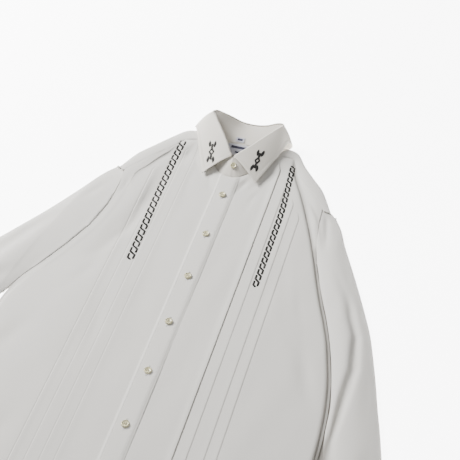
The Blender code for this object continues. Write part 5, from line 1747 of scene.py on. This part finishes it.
slit = BUTTON_DIAMETER / 2 + SLIT_PAST_BUTTON
runs = []
for i in range(FRONT_BUTTONS):
    middle = BUTTON_PLACE[1] - i * BUTTON_SPACING
    for side in (-1, 1):
        for y in np.arange(-slit, slit + 0.01, SATIN_STEP):
            x = BUTTON_PLACE[0] + side * np.linspace(SATIN_IN, SATIN_OUT, 5)
            path, normal = straight_down(placket_tree, x, np.full(5, middle + y))
            runs.append((path, normal, 0.24, 0.3))
    for end in (-1, 1):
        for off in (0.0, 0.5, 1.0):
            x = BUTTON_PLACE[0] + np.linspace(-SATIN_OUT, SATIN_OUT, 7)
            path, normal = straight_down(placket_tree, x,
                                         np.full(7, middle + end * (slit + off)))
            runs.append((path, normal, 0.26, 0.32))
buttonholes = strands("buttonholes", runs, body_thread, 6)

# %% [markdown]
# ## Frame and the table of pieces
#
# Every piece rides on the one body of the shirt, because it stays buttoned. Each shell stands
# for its CAD node, which is hidden. The table lists each piece's slot and its flat size, the cut
# of what shows, so that someone else could drape the same piece again. It was measured on the
# shells.

# %% Frame and the table of pieces
# Piece, node, slot, flat size in metres, flat area in m2 where it isn't a rectangle, how it is
# held, what it rests on, and the thread that is sewn to it.
CLOTH_PIECES = [
    (back_cloth, "back", "shirt_cloth", (0.535, 0.640), 0.291, "laid", [], []),
    (front_left, "front_left", "shirt_cloth", (0.262, 0.720), 0.154, "laid", ["back_cloth"],
     [left_embroidery]),
    (front_right, "front_right", "shirt_cloth", (0.270, 0.720), 0.169, "laid", ["back_cloth"],
     [right_embroidery]),
    (placket_cloth, "placket", "shirt_cloth", (0.035, 0.695), None, "laid",
     ["front_left_cloth", "front_right_cloth"], [stitch_placket, buttonholes]),
    (yoke_cloth, "yoke", "shirt_cloth", (0.395, 0.190), 0.054, "folded", [], [stitch_yoke]),
    (sleeve_left, "sleeve_left", "shirt_cloth", (0.230, 0.560), 0.072, "laid", [], []),
    (sleeve_right, "sleeve_right", "shirt_cloth", (0.340, 0.500), 0.094, "laid", [], []),
    (cuff_left, "cuff_left", "collar_cloth", (0.212, 0.066), None, "folded", [], []),
    (cuff_right, "cuff_right", "collar_cloth", (0.234, 0.070), None, "folded", [], []),
    (stand_cloth, "collar_stand", "collar_cloth", (0.430, 0.037), 0.0145, "folded",
     ["yoke_cloth"], [stitch_stand]),
    (leaf_cloth, "collar_leaf", "collar_cloth", (0.420, 0.075), 0.0197, "folded",
     ["collar_stand_cloth"], [stitch_leaf, left_motif, right_motif]),
    (label_piece, "neck_label", "label_weave", (0.050, 0.0223), None, "laid", ["yoke_cloth"], []),
    (tab_piece, "size_tab", "label_weave", (0.0180, 0.0100), 0.00015, "laid",
     ["collar_stand_cloth"], [])]
THREAD_PIECES = [
    (left_embroidery, "shirt_cloth"), (right_embroidery, "shirt_cloth"),
    (left_motif, "collar_cloth"), (right_motif, "collar_cloth"),
    (stitch_placket, "shirt_cloth"), (stitch_leaf, "collar_cloth"),
    (stitch_stand, "collar_cloth"), (stitch_yoke, "shirt_cloth"),
    (stitch_cuffs, "collar_cloth"), (stitch_hem, "shirt_cloth"), (buttonholes, "shirt_cloth")]
for piece, node, slot_name, flat, area, held, under, sewn in CLOTH_PIECES:
    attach(piece, "root")
    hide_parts(node)
for piece, slot_name in THREAD_PIECES:
    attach(piece, "root")
for node, (piece, sewing) in button_pieces.items():
    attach(piece, "root")
    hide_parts(node)
    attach(sewing, "root")
print("cloth pieces:", len(CLOTH_PIECES), "thread pieces:", len(THREAD_PIECES),
      "buttons:", len(button_pieces))

# %% [markdown]
# ## Floor and light
#
# The shirt was shown on plain white. A pale floor that glows keeps it white to the corners, and
# half a millimetre of depth keeps it off the cloth. A wide soft light from the upper left of the
# picture models the folds, and an even white sky fills the shade.

# %% Floor and light
FLOOR_HALF, FLOOR_LEVEL, FLOOR_GLOW = 6, -0.0005, 7.0
SKY = 0.42

floor_mesh = bpy.data.meshes.new("floor")
floor_mesh.from_pydata([(x * FLOOR_HALF, y * FLOOR_HALF, FLOOR_LEVEL)
                        for x, y in ((-1, -1), (1, -1), (1, 1), (-1, 1))], [], [(0, 1, 2, 3)])
floor_paint, _, floor_shader = material("pale floor", (0.93, 0.93, 0.93), 0.9)
floor_shader.inputs["Emission Color"].default_value = (1.0, 1.0, 1.0, 1.0)
floor_shader.inputs["Emission Strength"].default_value = FLOOR_GLOW
floor_mesh.materials.append(floor_paint)
floor = bpy.data.objects.new("floor", floor_mesh)
bpy.context.collection.objects.link(floor)

world = bpy.data.worlds.new("white sky")
world.use_nodes = True
world.node_tree.nodes["Background"].inputs["Color"].default_value = (1.0, 1.0, 1.0, 1.0)
world.node_tree.nodes["Background"].inputs["Strength"].default_value = SKY
bpy.context.scene.world = world


def soft_light(name, place, size, power):
    """A square area light that faces the middle of the shirt."""
    lamp = bpy.data.lights.new(name, "AREA")
    lamp.size, lamp.energy = size, power
    holder = bpy.data.objects.new(name, lamp)
    holder.location = Vector(place)
    aim = Vector((0.0, 0.2, 0.0)) - holder.location
    holder.rotation_euler = aim.to_track_quat("-Z", "Y").to_euler()
    bpy.context.collection.objects.link(holder)


soft_light("key", (-1.6, 0.9, 1.3), 0.8, 150.0)
soft_light("fill", (1.0, -0.6, 1.8), 1.6, 6.0)
print("floor", 2 * FLOOR_HALF, "m wide, lights:", len(bpy.data.lights))
